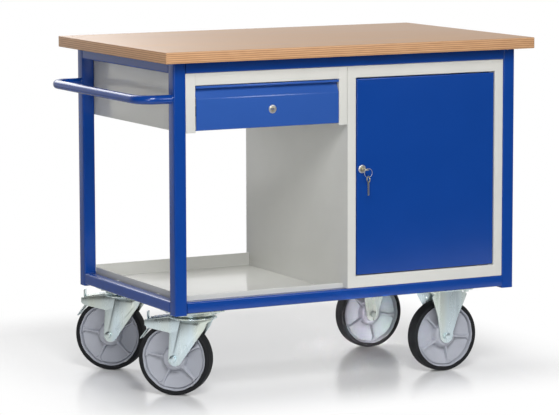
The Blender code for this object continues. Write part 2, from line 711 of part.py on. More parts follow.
def lock_barrel(cam_front):
    """Round barrel with a front flange; its own origin is on the sheet's front face."""
    bore = PLUG_RADIUS + SEAT_GAP
    rear = cam_front - SEAT_GAP
    profile = [(bore, -LOCK_FLANGE), (LOCK_FLANGE_RADIUS - LOCK_FLANGE / 2, -LOCK_FLANGE)]
    profile += [(LOCK_FLANGE_RADIUS, -LOCK_FLANGE / 2), (LOCK_FLANGE_RADIUS, -SEAT_GAP)]
    profile += [(LOCK_BODY_RADIUS, -SEAT_GAP), (LOCK_BODY_RADIUS, rear), (bore, rear)]
    return turned(profile, ROUND_SEGMENTS, axis="Y")


def lock_plug(cam_front, cam_direction, cam_length):
    """Turning plug with a key slot in front and a cam behind the barrel."""
    front = -LOCK_FLANGE + PLUG_RECESS
    rear = cam_front + CAM_THICKNESS
    plug = cylinder((0, 0), PLUG_RADIUS, "Y", front, rear - SEAT_GAP, ROUND_SEGMENTS)
    along = Vector(cam_direction)
    across = Vector((-along.y, along.x)) * (CAM_WIDTH / 2)
    tail, tip = -along * (CAM_WIDTH / 2), along * cam_length
    outline = [tuple(tail - across), tuple(tip - across), tuple(tip + across), tuple(tail + across)]
    cam = prism(outline, "Y", cam_front, rear)
    slot_x = KEY_BLADE_WIDTH / 2 + SEAT_GAP
    slot_z = KEY_THICKNESS / 2 + SEAT_GAP
    slot_end = front + KEY_BLADE_DEPTH + SEAT_GAP
    slot = box((-slot_x, front - LOCK_FLANGE, -slot_z), (slot_x, slot_end, slot_z))
    return cut(fused(plug, cam), slot)


def bow_centre():
    """Distance of a key's bow in front of the lock's sheet."""
    return -LOCK_FLANGE - KEY_NECK - KEY_BOW_RADIUS


def key_outline(blade_end, bow_y):
    """Flat key along Y: blade, then a round bow."""
    half = KEY_BLADE_WIDTH / 2
    spread = math.degrees(math.asin(half / KEY_BOW_RADIUS))
    bow = arc((0, bow_y), KEY_BOW_RADIUS, 90 + spread, 450 - spread, ROUND_SEGMENTS)
    return [(half, blade_end), (-half, blade_end)] + bow


def key_solid(blade_end, bow_y):
    flat = prism(key_outline(blade_end, bow_y), "Z", -KEY_THICKNESS / 2, KEY_THICKNESS / 2)
    eye = cylinder((0, bow_y), KEY_EYE_RADIUS, "Z", -KEY_THICKNESS, KEY_THICKNESS, ROUND_SEGMENTS)
    return cut(flat, eye)


def door_key():
    blade_end = -LOCK_FLANGE + PLUG_RECESS + KEY_BLADE_DEPTH
    return key_solid(blade_end, bow_centre())


def ring_top():
    """Top of the ring, over the web of the key's bow, from the lock's centre."""
    web_x = (KEY_BOW_RADIUS + KEY_EYE_RADIUS) / 2
    return (web_x, bow_centre(), KEY_THICKNESS / 2 + RING_SLACK + RING_WIRE_RADIUS)


def key_ring():
    """Wire ring that hangs from its top, parallel to the door."""
    wire = circle((RING_RADIUS, 0), RING_WIRE_RADIUS, SMALL_SEGMENTS // 2)
    ring = turned(wire, ROUND_SEGMENTS, axis="Y")
    return moved(ring, (0, 0, -RING_RADIUS))


def spare_key():
    """Key that hangs by its eye from the bottom of the ring, edge on to the front."""
    blade_end = KEY_BOW_RADIUS + SPARE_BLADE_LENGTH
    solid = key_solid(blade_end, 0.0)
    hang = Matrix.Rotation(math.radians(-90), 3, "X")
    turn = Matrix.Rotation(math.radians(90), 3, "Z")
    bmesh.ops.rotate(solid, cent=(0, 0, 0), matrix=turn @ hang, verts=solid.verts)
    eye_top = -2 * RING_RADIUS + RING_WIRE_RADIUS + SEAT_GAP
    return moved(solid, (0, 0, eye_top - KEY_EYE_RADIUS))


def build_drawer_case(root):
    """Folded case with hollow front stiles and a top strip, and the lock's angle catch."""
    depth = UNIT_FRONT + RETURN_DEPTH
    plan = [(CASE_OPENING_LEFT, depth), (CASE_OPENING_LEFT, UNIT_FRONT), (CASE_LEFT, UNIT_FRONT)]
    plan += [(CASE_LEFT, UNIT_BACK), (CASE_RIGHT, UNIT_BACK), (CASE_RIGHT, UNIT_FRONT)]
    plan += [(CASE_OPENING_RIGHT, UNIT_FRONT), (CASE_OPENING_RIGHT, depth)]
    case = prism(folded(plan, SHEET), "Z", CASE_BOTTOM, UNIT_TOP)
    strip_z = UNIT_TOP - CASE_TOP_STRIP
    catch_back = CATCH_FRONT + CATCH_FLANGE
    profile = [(catch_back, strip_z), (UNIT_FRONT, strip_z), (UNIT_FRONT, UNIT_TOP)]
    overlap = SHEET / 2
    strip = prism(folded(profile, SHEET), "X", CASE_OPENING_LEFT - overlap, CASE_OPENING_RIGHT + overlap)
    add_piece("drawer_case", fused(case, strip), "grey_paint", root)
    seat = strip_z - SEAT_GAP
    angle = folded([(CATCH_FRONT, CATCH_BOTTOM), (CATCH_FRONT, seat), (catch_back, seat)], SHEET)
    catch = prism(angle, "X", DRAWER_LOCK_X - CATCH_WIDTH / 2, DRAWER_LOCK_X + CATCH_WIDTH / 2)
    add_piece("drawer_catch", catch, "zinc_steel", root)


def build_runners(root, drawer):
    """Channel runners: the outer ones stay on the case, the inner ones ride on the drawer box."""
    low = CASE_BOTTOM + RUNNER_RISE
    high = low + RUNNER_HEIGHT
    inner_low = low + SHEET + SEAT_GAP
    inner_high = high - SHEET - RUNNING_GAP
    sides = (("left", 1, CASE_LEFT, CASE_OPENING_LEFT), ("right", -1, CASE_RIGHT, CASE_OPENING_RIGHT))
    for name, inward, case_face, opening in sides:
        web = case_face + inward * (SHEET + SEAT_GAP)
        near = opening + inward * RUNNER_CLEARANCE
        far = near + inward * RUNNER_WIDTH
        lip = far - inward * RUNNER_PROUD
        outer = folded([(lip, low), (web, low), (web, high), (lip, high)], inward * SHEET)
        outer_front = UNIT_FRONT + RETURN_DEPTH + SEAT_GAP
        outer_back = UNIT_BACK - SHEET - SEAT_GAP
        add_piece(f"runner_outer_{name}", prism(outer, "Y", outer_front, outer_back), "zinc_steel", root)
        inner_points = [(near, inner_high), (far, inner_high), (far, inner_low), (near, inner_low)]
        inner = prism(folded(inner_points, inward * SHEET), "Y", BOX_FRONT, BOX_FRONT + BOX_DEPTH)
        add_piece(f"runner_inner_{name}", inner, "zinc_steel", drawer)


def build_drawer(root):
    """Drawer front with a folded finger grip, drawer box and lock."""
    lock_centre = (DRAWER_LOCK_X, UNIT_FRONT, DRAWER_LOCK_Z)
    drawer = joint_empty("drawer_slide", (DRAWER_MIDDLE, UNIT_FRONT, DRAWER_BOTTOM), root)
    build_runners(root, drawer)

    grip_top = DRAWER_TOP - SHEET
    grip_back = UNIT_FRONT + GRIP_DEPTH
    edge_z = DRAWER_TOP - GRIP_STRIP - GRIP_MOUTH
    profile = [(BOX_FRONT - SEAT_GAP, DRAWER_BOTTOM), (UNIT_FRONT, DRAWER_BOTTOM), (UNIT_FRONT, edge_z)]
    profile += [(grip_back, edge_z + GRIP_SLOPE), (grip_back, grip_top)]
    profile += [(UNIT_FRONT + SHEET, grip_top), (UNIT_FRONT + SHEET, DRAWER_TOP - GRIP_STRIP)]
    left = CASE_OPENING_LEFT + DRAWER_GAP
    right = CASE_OPENING_RIGHT - DRAWER_GAP
    front = cut(prism(folded(profile, SHEET), "X", left, right), lock_hole(DRAWER_LOCK_X, DRAWER_LOCK_Z))
    add_piece("drawer_front", front, "blue_paint", drawer)

    box_left = CASE_OPENING_LEFT + BOX_SIDE
    box_right = CASE_OPENING_RIGHT - BOX_SIDE
    box_low = (box_left, BOX_FRONT, DRAWER_BOTTOM)
    outer = box(box_low, (box_right, BOX_FRONT + BOX_DEPTH, BOX_TOP))
    well_low = (box_left + SHEET, BOX_FRONT + SHEET, DRAWER_BOTTOM + SHEET)
    well = box(well_low, (box_right - SHEET, BOX_FRONT + BOX_DEPTH - SHEET, BOX_TOP + SHEET))
    add_piece("drawer_box", cut(outer, well), "grey_paint", drawer)

    cam_front = DRAWER_CAM_FRONT - UNIT_FRONT
    add_piece("drawer_lock_barrel", lock_barrel(cam_front), "nickel", drawer, lock_centre)
    axis = joint_empty("drawer_lock_axis", lock_centre, drawer)
    plug = lock_plug(cam_front, (-1, 0), DRAWER_CAM_LENGTH)
    add_piece("drawer_lock_plug", plug, "nickel", axis, lock_centre)


def mirrored_cheeks(outline):
    """The two side plates of a fork, outside the wheel's hub."""
    levels = ((CHEEK_INSIDE, CHEEK_OUTSIDE), (-CHEEK_OUTSIDE, -CHEEK_INSIDE))
    return [prism(outline, "Y", low, high) for low, high in levels]


def axle_hole():
    reach = 2 * CHEEK_OUTSIDE
    return cylinder((0, 0), AXLE_RADIUS + SEAT_GAP, "Y", -reach, reach, SMALL_SEGMENTS)


def plate_solids(centre_x):
    """Mounting plate and its bolt heads, measured from the axle."""
    half_x, half_y = PLATE_LENGTH / 2, PLATE_WIDTH / 2
    underside = PLATE_TOP - PLATE_THICKNESS
    solids = [box((centre_x - half_x, -half_y, underside), (centre_x + half_x, half_y, PLATE_TOP))]
    for bolt_x in (centre_x - BOLT_SPACING_X / 2, centre_x + BOLT_SPACING_X / 2):
        for bolt_y in (-BOLT_SPACING_Y / 2, BOLT_SPACING_Y / 2):
            bottom, top = underside - BOLT_HEAD, PLATE_TOP - PLATE_THICKNESS / 2
            solids.append(cylinder((bolt_x, bolt_y), BOLT_HEAD_RADIUS, "Z", bottom, top, 6))
    return solids


def swivel_plate():
    """Plate with the upper ball race, kingpin and king nut, round the swivel axis."""
    race_bottom = HEAD_TOP + RACE_SLOT
    race_top = PLATE_TOP - PLATE_THICKNESS / 2
    core_bottom = HEAD_TOP + SEAT_GAP
    nut_top = HEAD_TOP - HEAD_THICKNESS - SEAT_GAP
    nut_bottom = nut_top - KING_NUT
    profile = [(0, race_top), (RACE_RADIUS, race_top), (RACE_RADIUS, race_bottom)]
    profile += [(RACE_CORE_RADIUS, race_bottom), (RACE_CORE_RADIUS, core_bottom)]
    profile += [(KINGPIN_RADIUS, core_bottom), (KINGPIN_RADIUS, nut_top), (KING_NUT_RADIUS, nut_top)]
    profile += [(KING_NUT_RADIUS, nut_bottom), (0, nut_bottom)]
    race = turned(profile, ROUND_SEGMENTS, closed=False)
    plate, *bolts = plate_solids(0.0)
    return fused(plate, race, *bolts)


def swivel_fork():
    """Pressed fork round the axle: round head, crown sheet with a drooping nose, two cheeks."""
    top = HEAD_TOP - HEAD_THICKNESS / 4
    outline = arc((SWIVEL_EYE_OFFSET, 0), SWIVEL_EYE, 185, 330, BEND_STEPS)
    outline += [(SWIVEL_TRAIL + FLANK_REACH, HEAD_TOP - FLANK_DROP)]
    outline += [(SWIVEL_TRAIL + SHOULDER_REACH, HEAD_TOP - SHOULDER_DROP)]
    outline += [(SWIVEL_TRAIL + CROWN_REACH, HEAD_TOP - CROWN_DROP), (SWIVEL_TRAIL + CROWN_REACH, top)]
    outline += [(-CROWN_BEND, top), (-CROWN_SETBACK, top - NOSE_DROP), (-ARM_REACH, top - NOSE_DROP)]
    outline += [(-ARM_REACH, HEAD_TOP - ARM_END_DROP), (-ARM_REACH + ARM_CORNER, HEAD_TOP - ARM_CORNER_DROP)]
    outline += [(-ARM_ROOT, HEAD_TOP - ARM_ROOT_DROP), (-LEG_BACK, HEAD_TOP - LEG_TOP_DROP)]
    underside = HEAD_TOP - HEAD_THICKNESS
    head = cylinder((SWIVEL_TRAIL, 0), HEAD_RADIUS, "Z", underside, HEAD_TOP, ROUND_SEGMENTS)
    crest = HEAD_TOP - SEAT_GAP
    profile = [(-CROWN_SETBACK, crest - NOSE_DROP), (-CROWN_BEND, crest), (SWIVEL_TRAIL, crest)]
    half_width = CHEEK_OUTSIDE + SEAT_GAP
    crown = prism(folded(profile, HEAD_THICKNESS - 2 * SEAT_GAP), "Y", -half_width, half_width)
    pin_low, pin_high = underside - HEAD_THICKNESS, HEAD_TOP + HEAD_THICKNESS
    pin_radius = KINGPIN_RADIUS + SEAT_GAP
    kingpin = cylinder((SWIVEL_TRAIL, 0), pin_radius, "Z", pin_low, pin_high, ROUND_SEGMENTS)
    return cut(fused(head, crown, *mirrored_cheeks(outline)), kingpin, axle_hole())


def fixed_cheek(side):
    """Cheek of the fixed fork: a flat panel beside the hub, with flanks folded away from the wheel
    that widen upwards and stop short of the plate's bolts."""
    top = PLATE_TOP - PLATE_THICKNESS / 2
    shoulder, flank = PLATE_TOP - FIXED_TOP_DROP, PLATE_TOP - FIXED_FLANK_DROP
    outline = arc((FIXED_EYE_OFFSET, 0), FIXED_EYE, 172, 340, BEND_STEPS)
    outline += [(FIXED_WAIST_FRONT, FIXED_WAIST_FRONT_HEIGHT), (FIXED_FLANK_FRONT, flank)]
    outline += [(FIXED_TOP_FRONT, shoulder), (FIXED_TOP_FRONT, top), (-FIXED_TOP_BACK, top)]
    outline += [(-FIXED_TOP_BACK, shoulder), (-FIXED_FLANK_BACK, flank)]
    outline += [(-FIXED_WAIST_BACK, FIXED_WAIST_BACK_HEIGHT)]
    reach = PLATE_LENGTH / 2
    slope = math.tan(math.radians(FIXED_FLANK_ANGLE))
    plan = [(-reach, CHEEK_INSIDE + slope * (reach - FIXED_PANEL_BACK)), (-FIXED_PANEL_BACK, CHEEK_INSIDE)]
    plan += [(FIXED_PANEL_FRONT, CHEEK_INSIDE), (reach, CHEEK_INSIDE + slope * (reach - FIXED_PANEL_FRONT))]
    plan = [(x, side * y) for x, y in plan]
    sheet = folded(plan if side < 0 else plan[::-1], FORK_SHEET)
    pressing = prism(sheet, "Z", -FIXED_EYE - FORK_SHEET, top)
    return combined("INTERSECT", pressing, [prism(outline, "Y", -PLATE_WIDTH, PLATE_WIDTH)])


def fixed_fork():
    """Fixed fork: plate with its bolts and two pressed cheeks."""
    plate, *bolts = plate_solids(FIXED_PLATE_OFFSET)
    return cut(fused(plate, fixed_cheek(-1), fixed_cheek(1), *bolts), axle_hole())


def pedal_pivot():
    return polar(WHEEL_RADIUS + PIVOT_STANDOFF, PIVOT_ANGLE)


def brake_pedal():
    """Bent pedal round its pivot boss, with a narrow release tab above."""
    pivot = Vector(pedal_pivot())
    end = Vector(polar(WHEEL_RADIUS + PEDAL_STANDOFF, PEDAL_END_ANGLE)) - pivot
    bend = Vector(polar(WHEEL_RADIUS + PEDAL_STANDOFF, PEDAL_BEND_ANGLE)) - pivot
    blade_points = [tuple(end), tuple(bend), (0, PIVOT_BOSS / 2)]
    blade = prism(folded(blade_points, PEDAL_SHEET), "Y", -PEDAL_WIDTH / 2, PEDAL_WIDTH / 2)
    tab_points = [(0, 0), (-TAB_SETBACK, TAB_FOOT), (-TAB_SETBACK, TAB_RISE)]
    tab = prism(folded(tab_points, PEDAL_SHEET), "Y", -TAB_WIDTH / 2, TAB_WIDTH / 2)
    boss_end = CHEEK_INSIDE - SEAT_GAP
    boss = cylinder((0, 0), PIVOT_BOSS, "Y", -boss_end, boss_end, SMALL_SEGMENTS)
    return fused(boss, blade, tab)


def axle_bolt():
    """Bolt along the wheel's axis, with a hexagonal head and nut outside the cheeks."""
    seat = CHEEK_OUTSIDE + 2 * SEAT_GAP
    shank = cylinder((0, 0), AXLE_RADIUS, "Y", -seat - AXLE_HEAD / 2, seat + AXLE_HEAD / 2, SMALL_SEGMENTS)
    head = cylinder((0, 0), AXLE_HEAD_RADIUS, "Y", -seat - AXLE_HEAD, -seat, 6)
    nut = cylinder((0, 0), AXLE_HEAD_RADIUS, "Y", seat, seat + AXLE_HEAD, 6)
    return fused(shank, head, nut)


def flat_radius(radius):
    """Corner radius of the faceted circle whose flats lie at radius."""
    return radius / math.cos(math.pi / WHEEL_SEGMENTS)


def wheel_turned(profile):
    """Wheel solid about Y with a flat facet straight below the axle."""
    profile = [(flat_radius(radius), height) for radius, height in profile]
    return turned(profile, WHEEL_SEGMENTS, axis="Y", turn=180.0 / WHEEL_SEGMENTS)


def wheel_rim(rib_angle):
    """Plastic wheel centre: hub, recessed web, outer ring and radial ribs."""
    hub, web = HUB_WIDTH / 2, WEB_THICKNESS / 2
    ring = TYRE_WIDTH / 2 - RIM_LIP
    ring_inside = RIM_RADIUS - RIM_RING
    half = [(AXLE_RADIUS + SEAT_GAP, hub), (HUB_RADIUS - HUB_CHAMFER, hub), (HUB_RADIUS, hub - HUB_CHAMFER)]
    half += [(HUB_RADIUS, web), (ring_inside - RIM_LIP, web), (ring_inside, ring), (RIM_RADIUS, ring)]
    profile = half + [(radius, -height) for radius, height in reversed(half)]
    rim = wheel_turned(profile)
    rib_start, rib_end = HUB_RADIUS - HUB_CHAMFER, ring_inside + RIM_LIP
    ribs = []
    for i in range(RIB_COUNT):
        low = (rib_start, -RIB_WIDTH / 2, -RIB_THICKNESS / 2)
        rib = box(low, (rib_end, RIB_WIDTH / 2, RIB_THICKNESS / 2))
        turn = Matrix.Rotation(-math.radians(rib_angle + 360.0 * i / RIB_COUNT), 3, "Y")
        bmesh.ops.rotate(rib, cent=(0, 0, 0), matrix=turn, verts=rib.verts)
        ribs.append(rib)
    return fused(rim, *ribs)


def wheel_tyre():
    """Rubber tyre with rounded shoulders on the rim's outer ring."""
    inside, tread = RIM_RADIUS + SEAT_GAP, WHEEL_RADIUS
    side = TYRE_WIDTH / 2
    half = [(inside, side - RIM_LIP), (tread - TYRE_SHOULDER, side)]
    half += [(tread - TYRE_SHOULDER / 3, side - TYRE_SHOULDER / 3), (tread, side - TYRE_SHOULDER)]
    return wheel_turned(half + [(radius, -height) for radius, height in reversed(half)])


def build_wheel(place, centre, parent, rib_angle):
    axle = joint_empty(f"wheel_axis_{place}", centre, parent)
    add_piece(f"wheel_rim_{place}", wheel_rim(rib_angle), "wheel_plastic", axle, centre)
    add_piece(f"wheel_tyre_{place}", wheel_tyre(), "tyre_rubber", axle, centre)


def build_casters(root):
    """Two swivel casters with brakes on the left, two fixed casters on the right."""
    for row, side in (("front", -1), ("back", 1)):
        wheel_y = side * WHEEL_TRACK / 2
        place = f"{row}_left"
        centre = (SWIVEL_AXLE_X, wheel_y, WHEEL_RADIUS)
        swivel_centre = (SWIVEL_X, wheel_y, WHEEL_RADIUS)
        add_piece(f"caster_plate_{place}", swivel_plate(), "zinc_steel", root, swivel_centre)
        swivel = joint_empty(f"swivel_axis_{place}", swivel_centre, root)
        swivel.rotation_euler = (0, 0, math.radians(SWIVEL_REST_ANGLE))
        add_piece(f"caster_fork_{place}", swivel_fork(), "zinc_steel", swivel, centre)
        add_piece(f"caster_axle_{place}", axle_bolt(), "zinc_steel", swivel, centre)
        build_wheel(place, centre, swivel, SWIVEL_RIB_ANGLE)
        pivot_x, pivot_z = pedal_pivot()
        pivot = (SWIVEL_AXLE_X + pivot_x, wheel_y, WHEEL_RADIUS + pivot_z)
        pedal_axis = joint_empty(f"brake_axis_{place}", pivot, swivel)
        add_piece(f"brake_pedal_{place}", brake_pedal(), "zinc_steel", pedal_axis, pivot)

        place = f"{row}_right"
        centre = (FIXED_AXLE_X, wheel_y, WHEEL_RADIUS)
        add_piece(f"caster_fork_{place}", fixed_fork(), "zinc_steel", root, centre)
        add_piece(f"caster_axle_{place}", axle_bolt(), "zinc_steel", root, centre)
        build_wheel(place, centre, root, FIXED_RIB_ANGLE)


def main():
    clear_scene()
    root = link(bpy.data.objects.new("trolley", None))
    root.location = (FRAME_SHIFT, 0, 0)
    build_worktop(root)
    build_frame(root)
    build_push_handle(root)
    build_shelf_tray(root)
    build_cabinet(root)
    build_hinge_pins(root)
    build_door(root)
    build_drawer_case(root)
    build_drawer(root)
    build_casters(root)


main()
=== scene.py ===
"""Workshop trolley, dressed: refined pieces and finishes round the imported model.

A Blender 4.5 script laid out as an add-on. The property groups hold the sizes and colours, each
operator makes one group of pieces or the stage, and main() calls them in order. Metres, +Z up.
"""

import functools
import json
import math

import bmesh
import bpy
from bpy.props import FloatProperty, FloatVectorProperty, PointerProperty
from mathutils import Matrix, Vector


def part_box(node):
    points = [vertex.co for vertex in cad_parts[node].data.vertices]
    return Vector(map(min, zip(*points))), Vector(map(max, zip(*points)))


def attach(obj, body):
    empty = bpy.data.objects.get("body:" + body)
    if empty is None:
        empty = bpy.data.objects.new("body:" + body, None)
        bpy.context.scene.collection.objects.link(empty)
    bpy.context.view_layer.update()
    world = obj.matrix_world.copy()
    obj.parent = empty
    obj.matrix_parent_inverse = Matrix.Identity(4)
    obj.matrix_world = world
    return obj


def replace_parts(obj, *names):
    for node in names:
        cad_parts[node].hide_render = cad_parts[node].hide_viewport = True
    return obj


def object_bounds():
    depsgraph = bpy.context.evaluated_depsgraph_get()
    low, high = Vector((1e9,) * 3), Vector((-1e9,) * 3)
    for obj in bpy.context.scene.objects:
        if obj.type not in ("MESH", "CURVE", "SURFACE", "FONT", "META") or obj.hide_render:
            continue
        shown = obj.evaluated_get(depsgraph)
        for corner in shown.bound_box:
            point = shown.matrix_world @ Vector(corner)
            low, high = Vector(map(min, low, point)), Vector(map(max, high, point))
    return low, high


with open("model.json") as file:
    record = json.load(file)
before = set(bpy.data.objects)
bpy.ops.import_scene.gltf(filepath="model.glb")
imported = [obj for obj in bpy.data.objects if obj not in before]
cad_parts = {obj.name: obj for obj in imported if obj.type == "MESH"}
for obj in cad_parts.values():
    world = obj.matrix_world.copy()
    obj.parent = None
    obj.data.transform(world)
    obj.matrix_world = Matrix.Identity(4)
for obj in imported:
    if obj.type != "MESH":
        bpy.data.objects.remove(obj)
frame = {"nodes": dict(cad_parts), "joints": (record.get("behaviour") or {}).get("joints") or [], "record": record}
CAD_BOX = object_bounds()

bl_info = {
    "name": "Workshop trolley",
    "version": (1, 0, 0),
    "blender": (4, 5, 0),
    "location": "View3D > Sidebar > Trolley",
    "description": "Refined pieces and finishes for a workshop trolley",
    "category": "Object",
}

MM = 0.001

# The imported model
JOINTS = {joint["name"]: joint for joint in frame["joints"]}
BODIES = frame["record"]["behaviour"]["bodies"]
BODY_OF = {node: body for body, nodes in BODIES.items() for node in nodes}
SLOT_OF = {part["node"]: part["material_slot"] for part in frame["record"]["subparts"]}
TUBE_NAMES = ("leg_", "top_rail", "bottom_rail", "caster_beam")
TUBES = [name for name in frame["nodes"] if name.startswith(TUBE_NAMES)]
RAILS = [name for name in TUBES if "rail" in name]
FRAME_MIDDLE_X = (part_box("leg_front_left")[0].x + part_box("leg_front_right")[1].x) / 2
FRAME_MIDDLE_Y = (CAD_BOX[0].y + CAD_BOX[1].y) / 2

# Facets
CORNER_STEPS = 5
BEVEL_STEPS = 3
ROUND_SIDES = 48
WHEEL_SIDES = 144
WELD_SIDES = 8
WIRE_SIDES = 10
SHARP_ANGLE = math.radians(38)
STRAIGHT_HALF = math.radians(89.5)

# Frame, worktop and folded sheet, in the places that the model gives them
WORKTOP_CORNER = 3.2 * MM
HANDLE_BEND = 50 * MM
WELD_RIPPLE = 5 * MM
WELD_SWELL = 0.16
RETURN_DEPTH = 18 * MM
CASE_LEFT_STILE = 29 * MM
CASE_RIGHT_STILE = 25.5 * MM
CASE_TOP_STRIP = 32.5 * MM
CASE_RETURN = 27.3 * MM
CABINET_STILE = 26 * MM
CABINET_STRIP = 32 * MM
DRAWER_STRIP = 6 * MM
DRAWER_MOUTH = 27.5 * MM
DRAWER_SLOPE = 24 * MM
DRAWER_GRIP = 13 * MM
GRIP_BEND = 11 * MM
TRAY_GAP = 6 * MM
TRAY_FOOT = 9 * MM
TRAY_FRONT_LIP = 26 * MM
TRAY_SIDE_LIP = 29 * MM
TRAY_TAB = 12 * MM
TRAY_TAB_SPACING = 260 * MM
SHEET_EASE = 0.3 * MM
TRAY_TAB_EASE = 0.45 * MM
LEAST_CORNER = 0.2 * MM

# Locks and keys
LOCK_FLANGE = 3 * MM
LOCK_FLANGE_RADIUS = 11.5 * MM
LOCK_DOME = 2.4 * MM
LOCK_BODY_RADIUS = 8.7 * MM
LOCK_EASE = 0.5 * MM
PLUG_RADIUS = 5.5 * MM
PLUG_RECESS = 1 * MM
PLUG_PLAY = 0.2 * MM
PLUG_EASE = 0.3 * MM
SLOT_DEPTH = 3 * MM
CAM_WIDTH = 12 * MM
CAM_CORNER = 4 * MM
CAM_THICKNESS = 3 * MM
CAM_GAP = 0.3 * MM
KEY_THICKNESS = 2 * MM
KEY_BLADE = 7 * MM
KEY_TIP = 1.5 * MM
KEY_BOW_RADIUS = 9.5 * MM
KEY_EYE_RADIUS = 6 * MM
KEY_SHOULDER = 1.5 * MM
KEY_EASE = 0.4 * MM
TOOTH_PITCH = 2.2 * MM
TOOTH_BITES = (0.9 * MM, 1.4 * MM, 1.9 * MM)
SPARE_BLADE = 35 * MM
RING_RADIUS = 12 * MM
RING_WIRE = 0.558 * MM
RING_RISE = 0.99 * MM
RING_TURNS = 2

# Wheels, measured from the axle
RIM_RING = 4 * MM
RIM_EASE = 0.8 * MM
RING_EASE = 1.5 * MM
RING_SETBACK = 1.5 * MM
RING_FILLET = 2.2 * MM
RING_GROOVE = 3.4 * MM
GROOVE_DEPTH = 5 * MM
WEB_AT_HUB = 1 * MM
WEB_AT_RING = 12.5 * MM
RIB_FACE = 15.5 * MM
RIB_COUNT = 5
RIB_HALF = 2.6 * MM
RIB_EASE = (-0.7 * MM, 1.4 * MM)
RIB_FLARE = 8 * MM
FLARE_AT_RING = (1 * MM, 18 * MM)
FLARE_AT_HUB = 10 * MM
HUB_RADIUS = 30 * MM
HUB_CHAMFER = 4 * MM
HUB_FILLET = 5 * MM
SWIVEL_RIB_ANGLE = 28.0
FIXED_RIB_ANGLE = -8.0
TYRE_GAP = 0.3 * MM
TYRE_LINE = ((0.0, 1.5), (1.2, 1.0), (2.0, 0.2))  # mm out from the rim, mm back from the side
TREAD_CROWN = 0.6 * MM
TREAD_FLAT = 0.6 * MM

# Where the wheel centre's mesh has its lines, in mm: beside a rib, outside the hub and inside the
# ring, and between two ribs as shares of the way
RIB_LINES = (0.0, 1.0, 1.9, 2.4, 2.9, 3.4, 4.0, 4.8, 5.8, 7.0, 8.4, 10.0, 12.0)
HUB_LINES = (0.4, 1.2, 2.2, 3.2, 4.2, 5.2, 7.0, 9.0, 12.0, 22.0, 32.0)
RING_LINES = (18.0, 14.0, 11.0, 8.5, 6.5, 5.0, 3.8, 2.8, 2.2, 1.6, 1.0, 0.5, 0.1, -0.7)
BETWEEN_RIBS = (0.36, 0.43, 0.5, 0.57, 0.64)

# Casters, measured from the axle
AXLE_RADIUS = 6 * MM
AXLE_PLAY = 0.3 * MM
AXLE_HEAD = 7.5 * MM
AXLE_HEAD_RADIUS = 9.5 * MM
AXLE_SEAT = 0.6 * MM
CHEEK_INSIDE = 23 * MM
CHEEK_SHEET = 4 * MM
CHEEK_OUTSIDE = CHEEK_INSIDE + CHEEK_SHEET
CHEEK_DROP = 3 * MM
PLATE_THICKNESS = 6 * MM
PLATE_CORNER = 8 * MM
PLATE_OFFSET = 2 * MM
WASHER_SHARE = (1.05, 0.12)  # of a bolt head's radius and height
HEXAGON_SHARES = ((1.0, 0.10), (1.0, 0.86), (0.93, 0.97), (0.86, 1.0))  # of the same
BOLT_SPACING = (105 * MM, 80 * MM)
BOLT_RADIUS = 8.5 * MM
BOLT_HEAD = 6 * MM
HEAD_THICKNESS = 5 * MM
HEAD_RADIUS = 63 * MM
HEAD_EASE = 2 * MM
RACE_RADIUS = 60 * MM
RACE_CORE = 40 * MM
RACE_SLOT = 4 * MM
RACE_SHOULDER = 3 * MM
RACE_LIP = 1.5 * MM
RACE_GAP = 0.3 * MM
KINGPIN_RADIUS = 8 * MM
KING_NUT_RADIUS = 13 * MM
KING_NUT = 8 * MM
CROWN_INSET = 0.3 * MM
CROWN_BEND = 6 * MM
CROWN_EASE = 2 * MM
PANEL_RISE = 1.6 * MM
PANEL_SHARE = 0.86
PANEL_CORNER = 5 * MM
PEDAL_SHEET = 3 * MM
PEDAL_WIDTH = 30 * MM
PEDAL_STANDOFF = 9.5 * MM
PEDAL_BEND = 6 * MM
PEDAL_END_ANGLE = 152.5
PEDAL_BEND_ANGLE = 133.0
PEDAL_BEAD = ((0.15, 0.4), (0.35, 1.3), (0.6, 1.3), (0.85, 0.4))  # share of the way, radius in mm
PIVOT_BOSS = 6 * MM
PIVOT_PLAY = 0.3 * MM
TAB_SETBACK = 8.6 * MM
TAB_FOOT = 4 * MM
TAB_RISE = 28 * MM
TAB_WIDTH = 16 * MM
TAB_BEND = 2 * MM

# Swivel fork: the eye's place and radius, then points in mm. The cheek's arm is measured from the
# swivel axis, its crown and drooping nose from the axle, each with its drop below the head and its
# corner. The crown's line and the panel's top drop below the head too; the panel's foot is above the axle.
SWIVEL_EYE = (6 * MM, 19.5 * MM)
SWIVEL_ARM = ((41.5, 32.0, 10), (48.5, 15.0, 8), (61.0, 7.5, 4), (61.0, 3.0, 1))
SWIVEL_NOSE = ((-12.0, 3.0, 20), (-67.5, 12.5, 6), (-79.5, 12.5, 3), (-79.5, 27.5, 5),
               (-70.5, 34.5, 6), (-8.5, 46.0, 6), (-9.5, 52.0, 5))
CROWN_LINE = ((-67.5, 9.5), (-12.0, 0.0))
PANEL_FOOT = ((-1.0, 10.0), (14.0, 2.0))
PANEL_TOP = ((28.0, 36.0), (34.0, 13.0), (-26.0, 11.0))

